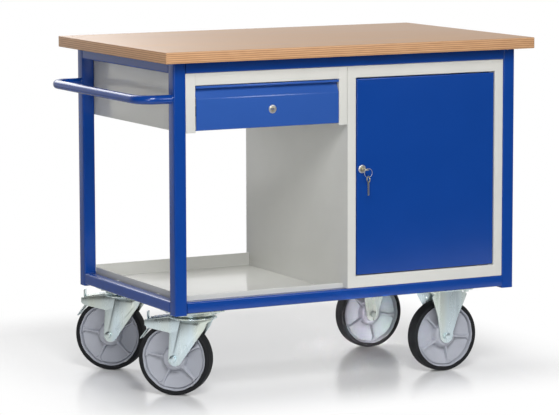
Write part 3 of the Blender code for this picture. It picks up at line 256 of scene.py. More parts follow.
# Fixed fork: the eye's place and radius, then points in mm from the axle. The cheek's front and back
# edges have a corner for each point; the levels and the flank's lines are where its mesh has lines.
FIXED_EYE = (0.5 * MM, 20.5 * MM)
FIXED_FRONT = ((23.5, 15.0, 30), (60.0, 120.5, 6), (44.0, 122.0, 5))
FIXED_NECK = (44 * MM, -40 * MM)
FIXED_BACK = ((-40.0, 122.0, 5), (-59.0, 120.5, 6), (-29.0, 55.0, 40))
FIXED_LEVELS = (6, 12, 18, 26, 36, 46, 56, 66, 80, 95, 108, 116, 118.5, 120.5, 121.2, 122)
FIXED_PANEL = (-24 * MM, 34.5 * MM)
FIXED_FLANK_ANGLE = 30.0
FLANK_FOLD = 3 * MM
FLANK_LINES = (-9.0, -5.0, -2.5, 0.0, 2.5, 5.0, 9.0)

# Camera, as fitted to the frame's corners in a picture of this size
IMAGE_WIDTH = 559
FOCAL_PIXELS = 2882.9
SENSOR_WIDTH = 36.0
CAMERA_PLACE = (-3.698, -7.034, 1.505)
CAMERA_YAW = -27.60
CAMERA_PITCH = -7.51
CAMERA_ROLL = -0.14
CAMERA_REACH = 100.0

# Lamps: name, place, target, size, watts and spread in degrees
LAMPS = (
    ("key_softbox", (-1.35, -3.7, 3.4), (0.0, 0.0, 0.4), 1.7, 150.0, 180.0),
    ("left_softbox", (-3.1, -4.2, 1.2), (0.0, 0.0, 0.3), 1.2, 46.0, 180.0),
    ("right_softbox", (1.8, -4.1, 2.3), (0.0, 0.0, 0.6), 1.2, 42.0, 180.0),
    ("back_softbox", (-0.1, 3.6, 3.1), (-0.2, 0.0, 0.3), 2.7, 90.0, 180.0),
    ("wheel_spot", (-1.45, -4.0, 0.45), (0.32, 0.19, 0.03), 0.1, 0.26, 5.5),
)

# White surroundings: the way to the backdrop, and how bright the room is in front of it and at it,
# first as light and then as glossy surfaces mirror it
BACKDROP_WAY = (0.46, 0.89, 0.0)
ROOM_IN_FRONT = (0.16, 0.07)
ROOM_AT_BACKDROP = (0.5, 1.0)
ROOM_TURN = (-0.1, 0.95)

# The floor keeps its own shade under the trolley and behind it, then fades to the white surroundings.
FLOOR_CORNERS = ((-3.5, -1.3), (3.5, 4.0))
SHADE_MIDDLE = (0.04, 0.31, 0.0)
SHADE_HALF = (0.53, 0.54, 0.0)
SHADE_FADE = 0.38
SHADE_WHITE = 0.05
DIM_WAY = (-0.7, 0.7, 0.0)
DIM_REACH = (0.2, 1.2)
DIM_LEVEL = 0.4


def linear(hex_colour):
    """Linear RGB of an sRGB hex value."""
    channels = [int(hex_colour[i:i + 2], 16) / 255 for i in (1, 3, 5)]
    return [c / 12.92 if c <= 0.04045 else ((c + 0.055) / 1.055) ** 2.4 for c in channels]


def length(name, description, default):
    return FloatProperty(name=name, description=description, default=default, unit="LENGTH")


def colour(name, description, hex_colour):
    return FloatVectorProperty(name=name, description=description, default=linear(hex_colour),
                               subtype="COLOR", size=3, min=0.0, max=1.0)


class TrolleySizes(bpy.types.PropertyGroup):
    """Sizes that a user would change"""
    sheet: length("Sheet", "Thickness of the folded sheet steel", 1.5 * MM)
    bend: length("Bend", "Inside radius of the sheet's folds", 1.2 * MM)
    burr: length("Burr", "Rounding of the sheet's cut edges", 0.5 * MM)
    tube_wall: length("Tube wall", "Wall of the frame's square tubes", 2 * MM)
    tube_corner: length("Tube corner", "Outside corner radius of the square tubes", 4 * MM)
    weld: length("Weld", "Radius of the painted weld beads", 1.7 * MM)
    arris: length("Arris", "Rounding of the worktop's edges", 2 * MM)
    ply: length("Ply", "Thickness of one ply in the worktop's edge", 2.7 * MM)
    tyre_shoulder: length("Tyre shoulder", "Rounding of the tyre's shoulders", 5 * MM)
    fork_edge: length("Fork edge", "Rounding of the pressed forks' edges", 0.9 * MM)


class TrolleyColours(bpy.types.PropertyGroup):
    """Colours that a user would change"""
    blue: colour("Blue", "Blue powder coat", "#073D8E")
    # Painted sheen: the drawer front's blue is a lighter copy of the frame's blue coat, standing in for the lamps'
    # sheen on its face.
    drawer_blue_painted_sheen: colour("Drawer blue", "Blue powder coat of the drawer front", "#2C55A2")
    grey: colour("Grey", "Light grey powder coat", "#D0D0CB")
    beech: colour("Beech", "Face of the beech plywood", "#B58C64")
    beech_light: colour("Light plies", "Long grain in the plywood's edge", "#DAAE86")
    beech_dark: colour("Dark plies", "End grain in the plywood's edge", "#B88B62")
    saw_mark: colour("Saw marks", "Streaks that darken the plywood's sawn edge", "#DDD5CB")
    zinc: colour("Zinc", "Blue passivated zinc plate", "#DCE3E2")
    wheel: colour("Wheel", "Grey moulded wheel centre", "#A4A7B0")
    tyre: colour("Tyre", "Black rubber", "#18191C")
    nickel: colour("Nickel", "Nickel plate on the locks", "#E6E5E1")
    nickel_silver: colour("Nickel silver", "Keys and lock plugs", "#CFC8AE")
    floor: colour("Floor", "Pale studio floor", "#F2F2F2")


def plug(node, inputs):
    """Sets inputs to a value, or links them from a socket or from a node's first enabled output."""
    for name, value in inputs.items():
        if isinstance(value, bpy.types.Node):
            value = next(output for output in value.outputs if output.enabled)
        if isinstance(value, bpy.types.NodeSocket):
            node.id_data.links.new(value, node.inputs[name])
        else:
            node.inputs[name].default_value = value


def add_node(tree, kind, inputs=None, **settings):
    """Adds a shader node with its settings and with what goes into it."""
    node = tree.nodes.new("ShaderNode" + kind)
    for name, value in settings.items():
        setattr(node, name, value)
    plug(node, inputs or {})
    return node


def new_material(name):
    """A new material, what adds nodes to it, its shader, and the coordinates of the piece it covers."""
    material = bpy.data.materials.new(name)
    material.use_nodes = True
    add = functools.partial(add_node, material.node_tree)
    return material, add, material.node_tree.nodes["Principled BSDF"], add("TexCoord").outputs["Object"]


def shade(rgb, factor):
    return tuple(min(1.0, channel * factor) for channel in rgb) + (1.0,)


def mottled(add, shader, cloud, rgb, tints, roughness):
    """A noise takes the colour and the gloss from one level to another."""
    dark, light = (shade(rgb, tint) for tint in tints)
    tint = add("Mix", {0: cloud, 6: dark, 7: light}, data_type="RGBA")
    gloss = add("MapRange", {"Value": cloud, "To Min": roughness[0], "To Max": roughness[1]})
    plug(shader, {"Base Color": tint, "Roughness": gloss})


def grained(add, shader, place, size, detail, strength, depth):
    """A grain of one size stands out of the surface."""
    grain = add("TexNoise", {"Vector": place, "Scale": 1 / size, "Detail": detail})
    bump = add("Bump", {"Height": grain, "Strength": strength, "Distance": depth})
    plug(shader, {"Normal": bump})


def powder_coat(name, rgb, smoothest=0.17, dullest=0.25):
    """Powder-coated steel, sprayed and baked: one even colour, a half-gloss skin and a fine
    orange-peel ripple, a little cloudier in its gloss from hand to hand."""
    material, add, shader, place = new_material(name)
    cloud = add("TexNoise", {"Vector": place, "Scale": 1 / (160 * MM), "Detail": 3.0})
    mottled(add, shader, cloud, rgb, (0.94, 1.06), (smoothest, dullest))
    # The ripple is about 1 mm across on the real coat and is drawn at 3 mm so that it shows.
    grained(add, shader, place, 3 * MM, 1.0, 0.06, 0.4 * MM)
    plug(shader, {"IOR": 1.5})
    return material


def beech_plywood(colours, sizes):
    """Lacquered beech plywood: peeled beech with short dark flecks along the grain on its faces,
    and plies of long grain and end grain by turns in its sawn edges."""
    material, add, shader, place = new_material("lacquered_beech_plywood")
    grain = add("Mapping", {"Vector": place, "Scale": (0.12, 1.0, 1.0)})
    figure = add("TexNoise", {"Vector": grain, "Scale": 1 / (45 * MM), "Detail": 5.0, "Distortion": 0.8})
    early, late = shade(colours.beech, 0.80), shade(colours.beech, 1.16)
    tone = add("Mix", {0: figure, 6: early, 7: late}, data_type="RGBA")
    # Beech flecks are 2 to 4 mm long and are drawn three times as long so that they show.
    along_grain = add("Mapping", {"Vector": place, "Scale": (0.13, 1.0, 1.0)})
    fleck = add("TexNoise", {"Vector": along_grain, "Scale": 1 / (1.6 * MM), "Detail": 1.0})
    spots = add("MapRange", {"Value": fleck, "From Min": 0.60, "From Max": 0.74, "To Max": 0.30})
    fleck_brown = shade(colours.beech_dark, 0.9)
    face = add("Mix", {0: spots, 6: tone, 7: fleck_brown}, data_type="RGBA")

    # Plies lie at levels that wander a little, and end grain and long grain change places round a corner.
    height = add("SeparateXYZ", {0: place}).outputs["Z"]
    facing = add("SeparateXYZ", {0: add("NewGeometry").outputs["Normal"]}).outputs
    wander = add("TexNoise", {"Vector": place, "Scale": 1 / (60 * MM), "Detail": 2.0})
    lifted = add("Math", {0: wander, 1: 1.2 * MM, 2: height}, operation="MULTIPLY_ADD")
    turn = add("Math", {0: lifted, 1: math.pi / sizes.ply}, operation="MULTIPLY")
    band = add("Math", {0: turn}, operation="SINE")
    end_face = add("Math", {0: facing["X"]}, operation="ABSOLUTE")
    flip = add("MapRange", {"Value": end_face, "From Min": 0.45, "From Max": 0.55,
                            "To Min": 1.0, "To Max": -0.7})
    flipped = add("Math", {0: band, 1: flip}, operation="MULTIPLY")
    layer = add("MapRange", {"Value": flipped, "From Min": -0.45, "From Max": 0.45})
    end_grain, long_grain = shade(colours.beech_dark, 1.0), shade(colours.beech_light, 1.0)
    plies = add("Mix", {0: layer, 6: end_grain, 7: long_grain}, data_type="RGBA")
    along_ply = add("Mapping", {"Vector": place, "Scale": (0.15, 0.15, 1.0)})
    streak = add("TexNoise", {"Vector": along_ply, "Scale": 1 / (5 * MM), "Detail": 3.0})
    saw_mark = shade(colours.saw_mark, 1.0)
    sawn = add("Mix", {0: streak, 6: plies, 7: saw_mark}, data_type="RGBA", blend_type="MULTIPLY")

    upward = add("Math", {0: facing["Z"]}, operation="ABSOLUTE")
    top = add("MapRange", {"Value": upward, "From Min": 0.55, "From Max": 0.75})
    wood = add("Mix", {0: top, 6: sawn, 7: face}, data_type="RGBA")
    gloss = add("MapRange", {"Value": figure, "To Min": 0.34, "To Max": 0.50})
    bump = add("Bump", {"Height": fleck, "Strength": 0.10, "Distance": 0.3 * MM})
    plug(shader, {"Base Color": wood, "Roughness": gloss, "Normal": bump, "IOR": 1.48})
    return material


def zinc_plate(name, rgb, rough):
    """Pressed steel, zinc plated and passivated: a pale metal that turns a little blue or green with
    the passive film's thickness, streaked where it drained, with a satin sheen."""
    material, add, shader, place = new_material(name)
    drained = add("Mapping", {"Vector": place, "Scale": (1.0, 1.0, 0.15)})
    cloud = add("TexNoise", {"Vector": drained, "Scale": 1 / (14 * MM), "Detail": 1.5})
    film = add("TexNoise", {"Vector": drained, "Scale": 1 / (45 * MM), "Detail": 1.0})
    hue = add("MapRange", {"Value": film, "From Min": 0.35, "From Max": 0.65})
    tilts = ((0.95, 1.03, 1.10), (1.0, 1.01, 0.93))
    blue, green = (shade([c * k for c, k in zip(rgb, tilt)], 1.0) for tilt in tilts)
    pale = add("Mix", {0: hue, 6: blue, 7: green}, data_type="RGBA")
    light = add("MapRange", {"Value": cloud, "To Min": 0.90, "To Max": 1.06})
    tint = add("VectorMath", {0: pale, "Scale": light}, operation="SCALE")
    gloss = add("MapRange", {"Value": cloud, "To Min": rough - 0.08, "To Max": rough + 0.10})
    # The rolled sheet's grain is under 0.1 mm and is drawn at 2 mm so that it shows.
    grained(add, shader, drained, 2 * MM, 1.0, 0.012, 0.2 * MM)
    plug(shader, {"Base Color": tint, "Roughness": gloss, "Metallic": 1.0})
    return material


def moulded(name, rgb, rough, grit, spread, sheen=0.5):
    """Moulded plastic or rubber: dyed through, with a fine spark-eroded grain from the mould and
    faint flow clouds, so that its sheen is soft and a little uneven. The pores of worn rubber hold
    back about half of the sheen."""
    material, add, shader, place = new_material(name)
    flow = add("TexNoise", {"Vector": place, "Scale": 1 / (35 * MM), "Detail": 3.0})
    mottled(add, shader, flow, rgb, (1 - spread, 1 + spread), (rough - 0.06, rough + 0.06))
    grained(add, shader, place, grit, 2.0, 0.10, 0.2 * MM)
    plug(shader, {"IOR": 1.5, "Specular IOR Level": sheen})
    return material


def polished_plate(name, rgb, rough):
    """Nickel or nickel silver, turned and polished: bright, with fine turning lines that break the
    highlight a little."""
    material, add, shader, place = new_material(name)
    lines = add("TexNoise", {"Vector": place, "Scale": 1 / (0.8 * MM), "Detail": 2.0})
    mottled(add, shader, lines, rgb, (0.90, 1.05), (rough - 0.06, rough + 0.10))
    plug(shader, {"Metallic": 1.0})
    return material


@functools.cache
def finish(name):
    """The material of a slot or of a piece's own finish, made once."""
    scene = bpy.context.scene
    colours, sizes = scene.trolley_colours, scene.trolley_sizes
    makers = {
        "blue_paint": lambda: powder_coat("blue_powder_coated_steel", colours.blue),
        # The lighter copy of the blue coat is painted sheen on the drawer front.
        "drawer_paint_painted_sheen": lambda: powder_coat("blue_powder_coat_painted_sheen", colours.drawer_blue_painted_sheen),
        "grey_paint": lambda: powder_coat("grey_powder_coated_steel", colours.grey, 0.10, 0.16),
        "beech_plywood": lambda: beech_plywood(colours, sizes),
        "zinc_steel": lambda: zinc_plate("zinc_plated_pressed_steel", colours.zinc, 0.27),
        "wheel_plastic": lambda: moulded("moulded_grey_polyamide", colours.wheel, 0.46, 1.2 * MM, 0.05),
        "tyre_rubber": lambda: moulded("moulded_black_rubber", colours.tyre, 0.72, 1.6 * MM, 0.20, 0.25),
        "nickel": lambda: polished_plate("polished_nickel_plate", colours.nickel, 0.36),
        "nickel_silver": lambda: polished_plate("polished_nickel_silver", colours.nickel_silver, 0.38),
    }
    return makers[name]()


def arc(centre, radius, start, end, steps):
    """Points along an arc, with its angles in degrees."""
    angles = [math.radians(start + (end - start) * i / steps) for i in range(steps + 1)]
    return [(centre[0] + radius * math.cos(a), centre[1] + radius * math.sin(a)) for a in angles]


def circle(radius, count):
    return arc((0, 0), radius, 0, 360, count)[:-1]


def polar(radius, angle):
    return Vector((radius * math.cos(math.radians(angle)), radius * math.sin(math.radians(angle))))


def rounded(points, radii, steps=CORNER_STEPS):
    """Closed outline with each corner turned into an arc of its own radius. An arc takes less than
    half of each side that it joins."""
    outline = []
    for i, (point, radius) in enumerate(zip(points, radii)):
        corner = Vector(point)
        before = Vector(points[i - 1]) - corner
        after = Vector(points[(i + 1) % len(points)]) - corner
        half = before.angle(after) / 2
        if radius <= 0 or half > STRAIGHT_HALF:
            outline.append(tuple(corner))
            continue
        reach = min(radius / math.tan(half), 0.49 * before.length, 0.49 * after.length)
        before, after = before.normalized(), after.normalized()
        middle = corner + (before + after).normalized() * (reach / math.cos(half))
        start, end = corner + before * reach - middle, corner + after * reach - middle
        first = math.atan2(start.y, start.x)
        sweep = (math.atan2(end.y, end.x) - first + math.pi) % (2 * math.pi) - math.pi
        outline += arc(middle, start.length, math.degrees(first), math.degrees(first + sweep), steps)
    return outline


def rectangle(low, high):
    return [(low[0], low[1]), (high[0], low[1]), (high[0], high[1]), (low[0], high[1])]


def rounded_rectangle(low, high, radius):
    return rounded(rectangle(low, high), [radius] * 4)


def grown(low, high, amount):
    """Corners of a rectangle that is larger by an amount on each side."""
    step = Vector((amount, amount))
    return Vector(low) - step, Vector(high) + step


def bent(points, thickness, bend, burr):
    """Closed outline of a folded sheet: points run along one face, with the metal on their right;
    the folds are round, of one radius or a list of them, and the cut edges are eased."""
    points = [Vector(point) for point in points]
    bends = bend if isinstance(bend, list) else [bend] * (len(points) - 2)
    ways = [(end - start).normalized() for start, end in zip(points, points[1:])]
    normals = [Vector((way.y, -way.x)) for way in ways]
    edge = min(burr, 0.45 * thickness)
    face, back = [], []
    other = [points[0] + normals[0] * thickness]
    for i, corner in enumerate(points[1:-1]):
        half = (normals[i] + normals[i + 1]).normalized()
        other.append(corner + half * (thickness / half.dot(normals[i])))
        inside, outside = bends[i], bends[i] + thickness
        turns_to_metal = ways[i].cross(ways[i + 1]) < 0
        face.append(outside if turns_to_metal else inside)
        back.append(inside if turns_to_metal else outside)
    other.append(points[-1] + normals[-1] * thickness)
    return rounded(points + other[::-1], [edge, *face, edge, edge, *back[::-1], edge])


def at_level(outline, axis, level):
    """A flat outline as points in space, at a level along the axis that it is square to."""
    return [{"X": (level, a, b), "Y": (a, level, b), "Z": (a, b, level)}[axis] for a, b in outline]


def loft(rows, ring=False):
    """Skin over rows of points: a ring joins the last row to the first, else the ends are capped."""
    solid = bmesh.new()
    verts = [[solid.verts.new(point) for point in row] for row in rows]
    pairs = list(zip(verts, verts[1:]))
    if ring:
        pairs.append((verts[-1], verts[0]))
    else:
        solid.faces.new(verts[0])
        solid.faces.new(verts[-1])
    for first, second in pairs:
        for i in range(len(first)):
            j = (i + 1) % len(first)
            solid.faces.new((first[i], first[j], second[j], second[i]))
    bmesh.ops.recalc_face_normals(solid, faces=solid.faces)
    return solid


def prism(outline, axis, low, high, edge=0.0):
    """An outline extruded along an axis, with the rims of its two ends rounded by edge."""
    solid = loft([at_level(outline, axis, level) for level in (low, high)])
    if edge > 0:
        caps = [face for face in solid.faces if len(face.verts) == len(outline)]
        rims = list({rim for face in caps for rim in face.edges})
        bmesh.ops.bevel(solid, geom=rims, offset=edge, segments=BEVEL_STEPS, profile=0.5, affect="EDGES",
                        clamp_overlap=True)
    return solid


def folded(profile, axis, low, high, edge=0.0, bends=None):
    """The trolley's sheet steel, folded along a profile."""
    sizes = bpy.context.scene.trolley_sizes
    return prism(bent(profile, sizes.sheet, bends or sizes.bend, sizes.burr), axis, low, high, edge)


def stacked(loops, axis, ring=False):
    """Skin over rounded rectangles (low corner, high corner, corner radius, level) square to an axis."""
    return loft([at_level(rounded_rectangle(low, high, corner), axis, level)
                 for low, high, corner, level in loops], ring)


def spun(profile, count, axis="Z"):
    """Closed profile of (radius, height) turned about an axis, round a bore."""
    return loft([at_level(circle(radius, count), axis, height) for radius, height in profile], ring=True)


def swept(path, radius, sides, closed=False):
    """Round bar along a path of points; radius is one number or one for each point."""
    points = [Vector(point) for point in path]
    radii = radius if isinstance(radius, list) else [radius] * len(points)
    rows, side = [], None
    for i, point in enumerate(points):
        before = points[i - 1] if i or closed else point
        after = points[(i + 1) % len(points)] if closed or i + 1 < len(points) else point
        way = (after - before).normalized()
        if side is None:
            guide = Vector((0, 0, 1)) if abs(way.z) < 0.9 else Vector((0, 1, 0))
            side = way.cross(guide).normalized()
        else:
            side = (side - way * side.dot(way)).normalized()
        up = side.cross(way)
        rows.append([point + side * x + up * y for x, y in circle(radii[i], sides)])
    return loft(rows, closed)


def joined(*solids):
    """One mesh of several closed shells."""
    result = bmesh.new()
    for solid in solids:
        mesh = bpy.data.meshes.new("shell")
        solid.to_mesh(mesh)
        solid.free()
        result.from_mesh(mesh)
        bpy.data.meshes.remove(mesh)
    return result


def placed(solid, matrix):
    solid.transform(matrix)
    return solid


def hexagon_head(radius, height):
    """Hexagonal bolt head along +Z with a washer face below and a chamfered top."""
    washer = prism(circle(WASHER_SHARE[0] * radius, ROUND_SIDES), "Z", 0.0, WASHER_SHARE[1] * height)
    rows = [at_level(circle(wide * radius, 6), "Z", high * height) for wide, high in HEXAGON_SHARES]
    return joined(washer, loft(rows))


def add_piece(name, solid, material, body):
    """A new piece that moves with a body and takes its finish from a slot of the record."""
    bmesh.ops.recalc_face_normals(solid, faces=solid.faces)
    mesh = bpy.data.meshes.new(name)
    solid.to_mesh(mesh)
    solid.free()
    mesh.shade_smooth()
    mesh.set_sharp_from_angle(angle=SHARP_ANGLE)
    mesh.materials.append(finish(material))
    item = bpy.data.objects.new(name, mesh)
    bpy.context.scene.collection.objects.link(item)
    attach(item, body)
    return item


def dress(node, solid, material=None):
    """A refined piece that stands for a node of the model."""
    slot = SLOT_OF[node]
    item = add_piece(node + "_detail", solid, material or slot, BODY_OF[node])
    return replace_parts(item, node)


def paint_rest():
    """Nodes whose own solids are shown get their finish."""
    for name, item in frame["nodes"].items():
        if not item.hide_render:
            item.data.materials.clear()
            item.data.materials.append(finish(SLOT_OF[name]))


def flat(vector, axis):
    """A point as it is seen along an axis."""
    return Vector([value for value, name in zip(vector, "XYZ") if name != axis])


def joint_place(name):
    return Vector(JOINTS[name]["pos_m"])


def tube_run(node):
    """A tube's long axis, its two ends along it, and the corners of its section."""
    low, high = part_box(node)
    along = max(range(3), key=lambda i: high[i] - low[i])
    axis = "XYZ"[along]
    return axis, (low[along], high[along]), (flat(low, axis), flat(high, axis))


def square_tube(node, sizes):
    """Square tube with round corners and a bore."""
    axis, (start, end), outer = tube_run(node)
    bore = grown(*outer, -sizes.tube_wall)
    corner, bore_corner = sizes.tube_corner, sizes.tube_corner - sizes.tube_wall
    loops = [(*outer, corner, start), (*outer, corner, end)]
    loops += [(*bore, bore_corner, end), (*bore, bore_corner, start)]
    return stacked(loops, axis, ring=True)


def weld_bead(points, radius):
    """Bead along a line of corner points, rippled as a hand weld is."""
    path, radii = [], []
    for start, end in zip(points, points[1:]):
        start, end = Vector(start), Vector(end)
        count = max(2, round((end - start).length / (WELD_RIPPLE / 4)))
        for i in range(count):
            path.append(start.lerp(end, i / count))
            radii.append(radius * (1 + WELD_SWELL * math.sin(math.pi / 2 * len(path))))
    return swept(path + [points[-1]], radii + [radius], WELD_SIDES)


def rail_weld(node, end, sizes):
    """Bead round a rail's end on its three inner sides; its outer side is ground flush."""
    axis, ends, ((near, bottom), (far, top)) = tube_run(node)
    middle = FRAME_MIDDLE_Y if axis == "X" else FRAME_MIDDLE_X
    outside, inside = (far, near) if near + far > 2 * middle else (near, far)
    eased = outside + math.copysign(sizes.tube_corner, inside - outside)
    line = [(eased, bottom), (inside, bottom), (inside, top), (eased, top)]
    return weld_bead(at_level(line, axis, ends[end]), sizes.weld)


def eased_rim(low, high, corner, level, radius, outward):
    """Loops that carry an outline round a fold, from the face at level back to level + radius.
    The outline grows on the way for an outer fold and shrinks for an opening's fold."""
    loops = []
    for inset, height in arc((radius, level + radius), radius, 270, 180, CORNER_STEPS):
        inset *= outward
        loops.append((*grown(low, high, -inset), max(corner - inset, LEAST_CORNER), height))
    return loops


class TROLLEY_OT_worktop(bpy.types.Operator):
    """Plywood slab with eased edges"""
    bl_idname = "trolley.worktop"
    bl_label = "Worktop"

    def execute(self, context):
        arris = context.scene.trolley_sizes.arris
        low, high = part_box("worktop")
        edge = arc((arris, low.z + arris), arris, 270, 180, CORNER_STEPS)
        edge += arc((arris, high.z - arris), arris, 180, 90, CORNER_STEPS)
        loops = [(*grown(low.xy, high.xy, -inset), WORKTOP_CORNER - inset, level) for inset, level in edge]
        dress("worktop", stacked(loops, "Z"))
        return {"FINISHED"}


class TROLLEY_OT_tube_frame(bpy.types.Operator):
    """Square tubes of the frame and the beads that weld them"""
    bl_idname = "trolley.tube_frame"
    bl_label = "Tube frame"

    def execute(self, context):
        sizes = context.scene.trolley_sizes
        for node in TUBES:
            dress(node, square_tube(node, sizes))
        welds = [rail_weld(node, end, sizes) for node in RAILS for end in (0, 1)]
        add_piece("frame_welds", joined(*welds), "blue_paint", "frame")
        return {"FINISHED"}


class TROLLEY_OT_push_handle(bpy.types.Operator):
    """Bent round tube with a weld at each leg"""
    bl_idname = "trolley.push_handle"
    bl_label = "Push handle"

    def execute(self, context):
        weld = context.scene.trolley_sizes.weld
        low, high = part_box("push_handle")
        radius, height = (high.z - low.z) / 2, (high.z + low.z) / 2
        side = (high.y - low.y) / 2 - radius
        bend_x, bend_y = low.x + radius + HANDLE_BEND, side - HANDLE_BEND
        steps = 4 * CORNER_STEPS
        route = [(high.x, -side)] + arc((bend_x, -bend_y), HANDLE_BEND, 270, 180, steps)
        route += arc((bend_x, bend_y), HANDLE_BEND, 180, 90, steps) + [(high.x, side)]
        solids = [swept(at_level(route, "Z", height), radius, ROUND_SIDES)]
        for y in (-side, side):
            ring = [(high.x, y + a, height + b) for a, b in circle(radius, ROUND_SIDES)]
            solids.append(swept(ring, weld, WELD_SIDES, closed=True))
        dress("push_handle", joined(*solids))
        return {"FINISHED"}


class TROLLEY_OT_shelf_tray(bpy.types.Operator):
    """Folded tray with upstands and its tabs to the side rail"""
    bl_idname = "trolley.shelf_tray"
    bl_label = "Shelf tray"

    def execute(self, context):
        sheet = context.scene.trolley_sizes.sheet
        low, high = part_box("shelf_tray")
        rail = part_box("bottom_rail_left")[1]
        left, floor = rail.x + TRAY_GAP, low.z + sheet
        profile = [(high.y, high.z), (high.y, low.z), (low.y, low.z), (low.y, floor + TRAY_FRONT_LIP)]
        solids = [folded(profile, "X", left + sheet / 2, high.x)]
        profile = [(left + TRAY_FOOT, low.z), (left, low.z), (left, floor + TRAY_SIDE_LIP)]
        solids.append(folded(profile, "Y", low.y + sheet / 2, high.y - sheet / 2))
        for middle in (-TRAY_TAB_SPACING / 2, TRAY_TAB_SPACING / 2):
            tab = rectangle((low.x, middle - TRAY_TAB / 2), (left + sheet / 2, middle + TRAY_TAB / 2))
            solids.append(prism(tab, "Z", rail.z - 2 * sheet, rail.z - sheet, TRAY_TAB_EASE))
        dress("shelf_tray", joined(*solids))
        return {"FINISHED"}


class TROLLEY_OT_cabinet(bpy.types.Operator):
    """Cabinet shell, shelf and front frame"""
    bl_idname = "trolley.cabinet"
    bl_label = "Cabinet"

    def execute(self, context):
        sizes = context.scene.trolley_sizes
        sheet, burr = sizes.sheet, sizes.burr
        low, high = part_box("cabinet_shell")
        frame_low, frame_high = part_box("cabinet_front_frame")
        plan = [(low.x, low.y), (low.x, high.y), (high.x, high.y), (high.x, low.y)]
        shell = folded(plan, "Z", frame_low.z, high.z)
        # A skirt carries the left wall on below the front frame. It is thinner than the wall, so that no
        # two faces coincide.
        tray_low, tray_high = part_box("shelf_tray")
        skirt = rectangle((tray_low.y, low.z), (tray_high.y, frame_low.z + RETURN_DEPTH))
        dress("cabinet_shell", joined(shell, prism(skirt, "X", low.x + sheet / 8, low.x + sheet * 7 / 8)))

        low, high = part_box("cabinet_shelf")
        profile = [(low.y, low.z), (low.y, high.z), (high.y, high.z)]
        dress("cabinet_shelf", folded(profile, "X", low.x, high.x))

        face, depth = frame_low.y, frame_high.y
        outer = flat(frame_low, "Y"), flat(frame_high, "Y")
        inset = Vector((CABINET_STILE, CABINET_STRIP))
        opening = outer[0] + inset, outer[1] - inset
        sleeve = grown(*opening, sheet)
        loops = eased_rim(*opening, burr, face, sizes.bend + sheet, -1)[::-1]
        loops += eased_rim(*outer, 2 * burr, face, burr, 1)
        loops += [(*outer, 2 * burr, face + sheet), (*sleeve, burr, face + sheet)]
        loops += [(*sleeve, burr, depth), (*opening, burr, depth)]
        dress("cabinet_front_frame", stacked(loops, "Y", ring=True))
        return {"FINISHED"}


class TROLLEY_OT_door(bpy.types.Operator):
    """Folded door pan"""
    bl_idname = "trolley.door"
    bl_label = "Door"

    def execute(self, context):
        sizes = context.scene.trolley_sizes
        sheet, bend, burr = sizes.sheet, sizes.bend, sizes.burr
        fold = bend + sheet
        low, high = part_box("door")
        outer = flat(low, "Y"), flat(high, "Y")
        inner = grown(*outer, -sheet)
        loops = eased_rim(*outer, fold, low.y, fold, 1)
        loops += [(*outer, fold, high.y - burr), (*grown(*outer, -burr), fold, high.y)]
        loops += [(*inner, bend, high.y), (*inner, bend, low.y + fold)]
        loops += [(*grown(*inner, -bend), bend, low.y + sheet)]
        dress("door", stacked(loops, "Y"))
        return {"FINISHED"}


class TROLLEY_OT_drawer_unit(bpy.types.Operator):
    """Drawer case with stiles and strip, drawer front with its grip, and drawer box"""
    bl_idname = "trolley.drawer_unit"
    bl_label = "Drawer unit"

    def execute(self, context):
        sizes = context.scene.trolley_sizes
        sheet, bend, burr = sizes.sheet, sizes.bend, sizes.burr
        low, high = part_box("drawer_case")
        left, right = low.x + CASE_LEFT_STILE, high.x - CASE_RIGHT_STILE
        depth = low.y + RETURN_DEPTH
        plan = [(left, depth), (left, low.y), (low.x, low.y), (low.x, high.y), (high.x, high.y)]
        plan += [(high.x, low.y), (right, low.y), (right, depth)]
        case = folded(plan, "Z", low.z, high.z, SHEET_EASE)
        strip_z = high.z - CASE_TOP_STRIP
        profile = [(low.y + CASE_RETURN, strip_z), (low.y, strip_z), (low.y, high.z)]
        dress("drawer_case", joined(case, folded(profile, "X", left - sheet / 2, right + sheet / 2)))

        low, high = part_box("drawer_front")
        edge = high.z - DRAWER_STRIP - DRAWER_MOUTH
        grip = low.y + DRAWER_GRIP
        profile = [(high.y, low.z), (low.y, low.z), (low.y, edge), (grip, edge + DRAWER_SLOPE)]
        profile += [(grip, high.z - sheet), (low.y + sheet, high.z - sheet)]
        profile += [(low.y + sheet, high.z - DRAWER_STRIP)]
        bends = [bend, GRIP_BEND, bend, bend, bend]
        # The drawer front takes the lighter copy of the blue coat, a painted sheen.
        dress("drawer_front", folded(profile, "X", low.x, high.x, SHEET_EASE, bends), "drawer_paint_painted_sheen")

        low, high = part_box("drawer_box")
        fold = [(2 * bend, 0.0), (0.6 * bend, 0.4 * bend), (0.0, 2 * bend)]
        walls = [(inset, 2 * sheet, low.z + rise) for inset, rise in fold]
        walls += [(0.0, 2 * sheet, high.z - burr), (sheet / 2, 2 * sheet, high.z)]
        walls += [(sheet, sheet, high.z - burr)]
        walls += [(sheet + inset, sheet, low.z + sheet + rise) for inset, rise in fold[::-1]]
        loops = [(*grown(low.xy, high.xy, -inset), corner, level) for inset, corner, level in walls]
        dress("drawer_box", stacked(loops, "Z"))
        return {"FINISHED"}


def lock_barrel(rear):
    """Barrel along +Y behind the sheet, with a domed flange in front."""
    bore = PLUG_RADIUS + PLUG_PLAY
    profile = [(LOCK_BODY_RADIUS, rear), (LOCK_BODY_RADIUS, 0.0), (LOCK_FLANGE_RADIUS, 0.0)]
    profile += arc((LOCK_FLANGE_RADIUS - LOCK_DOME, LOCK_DOME - LOCK_FLANGE), LOCK_DOME, 0, -90, CORNER_STEPS)
    profile += [(bore + LOCK_EASE, -LOCK_FLANGE), (bore, LOCK_EASE - LOCK_FLANGE), (bore, rear)]
    return spun(profile, ROUND_SIDES, "Y")


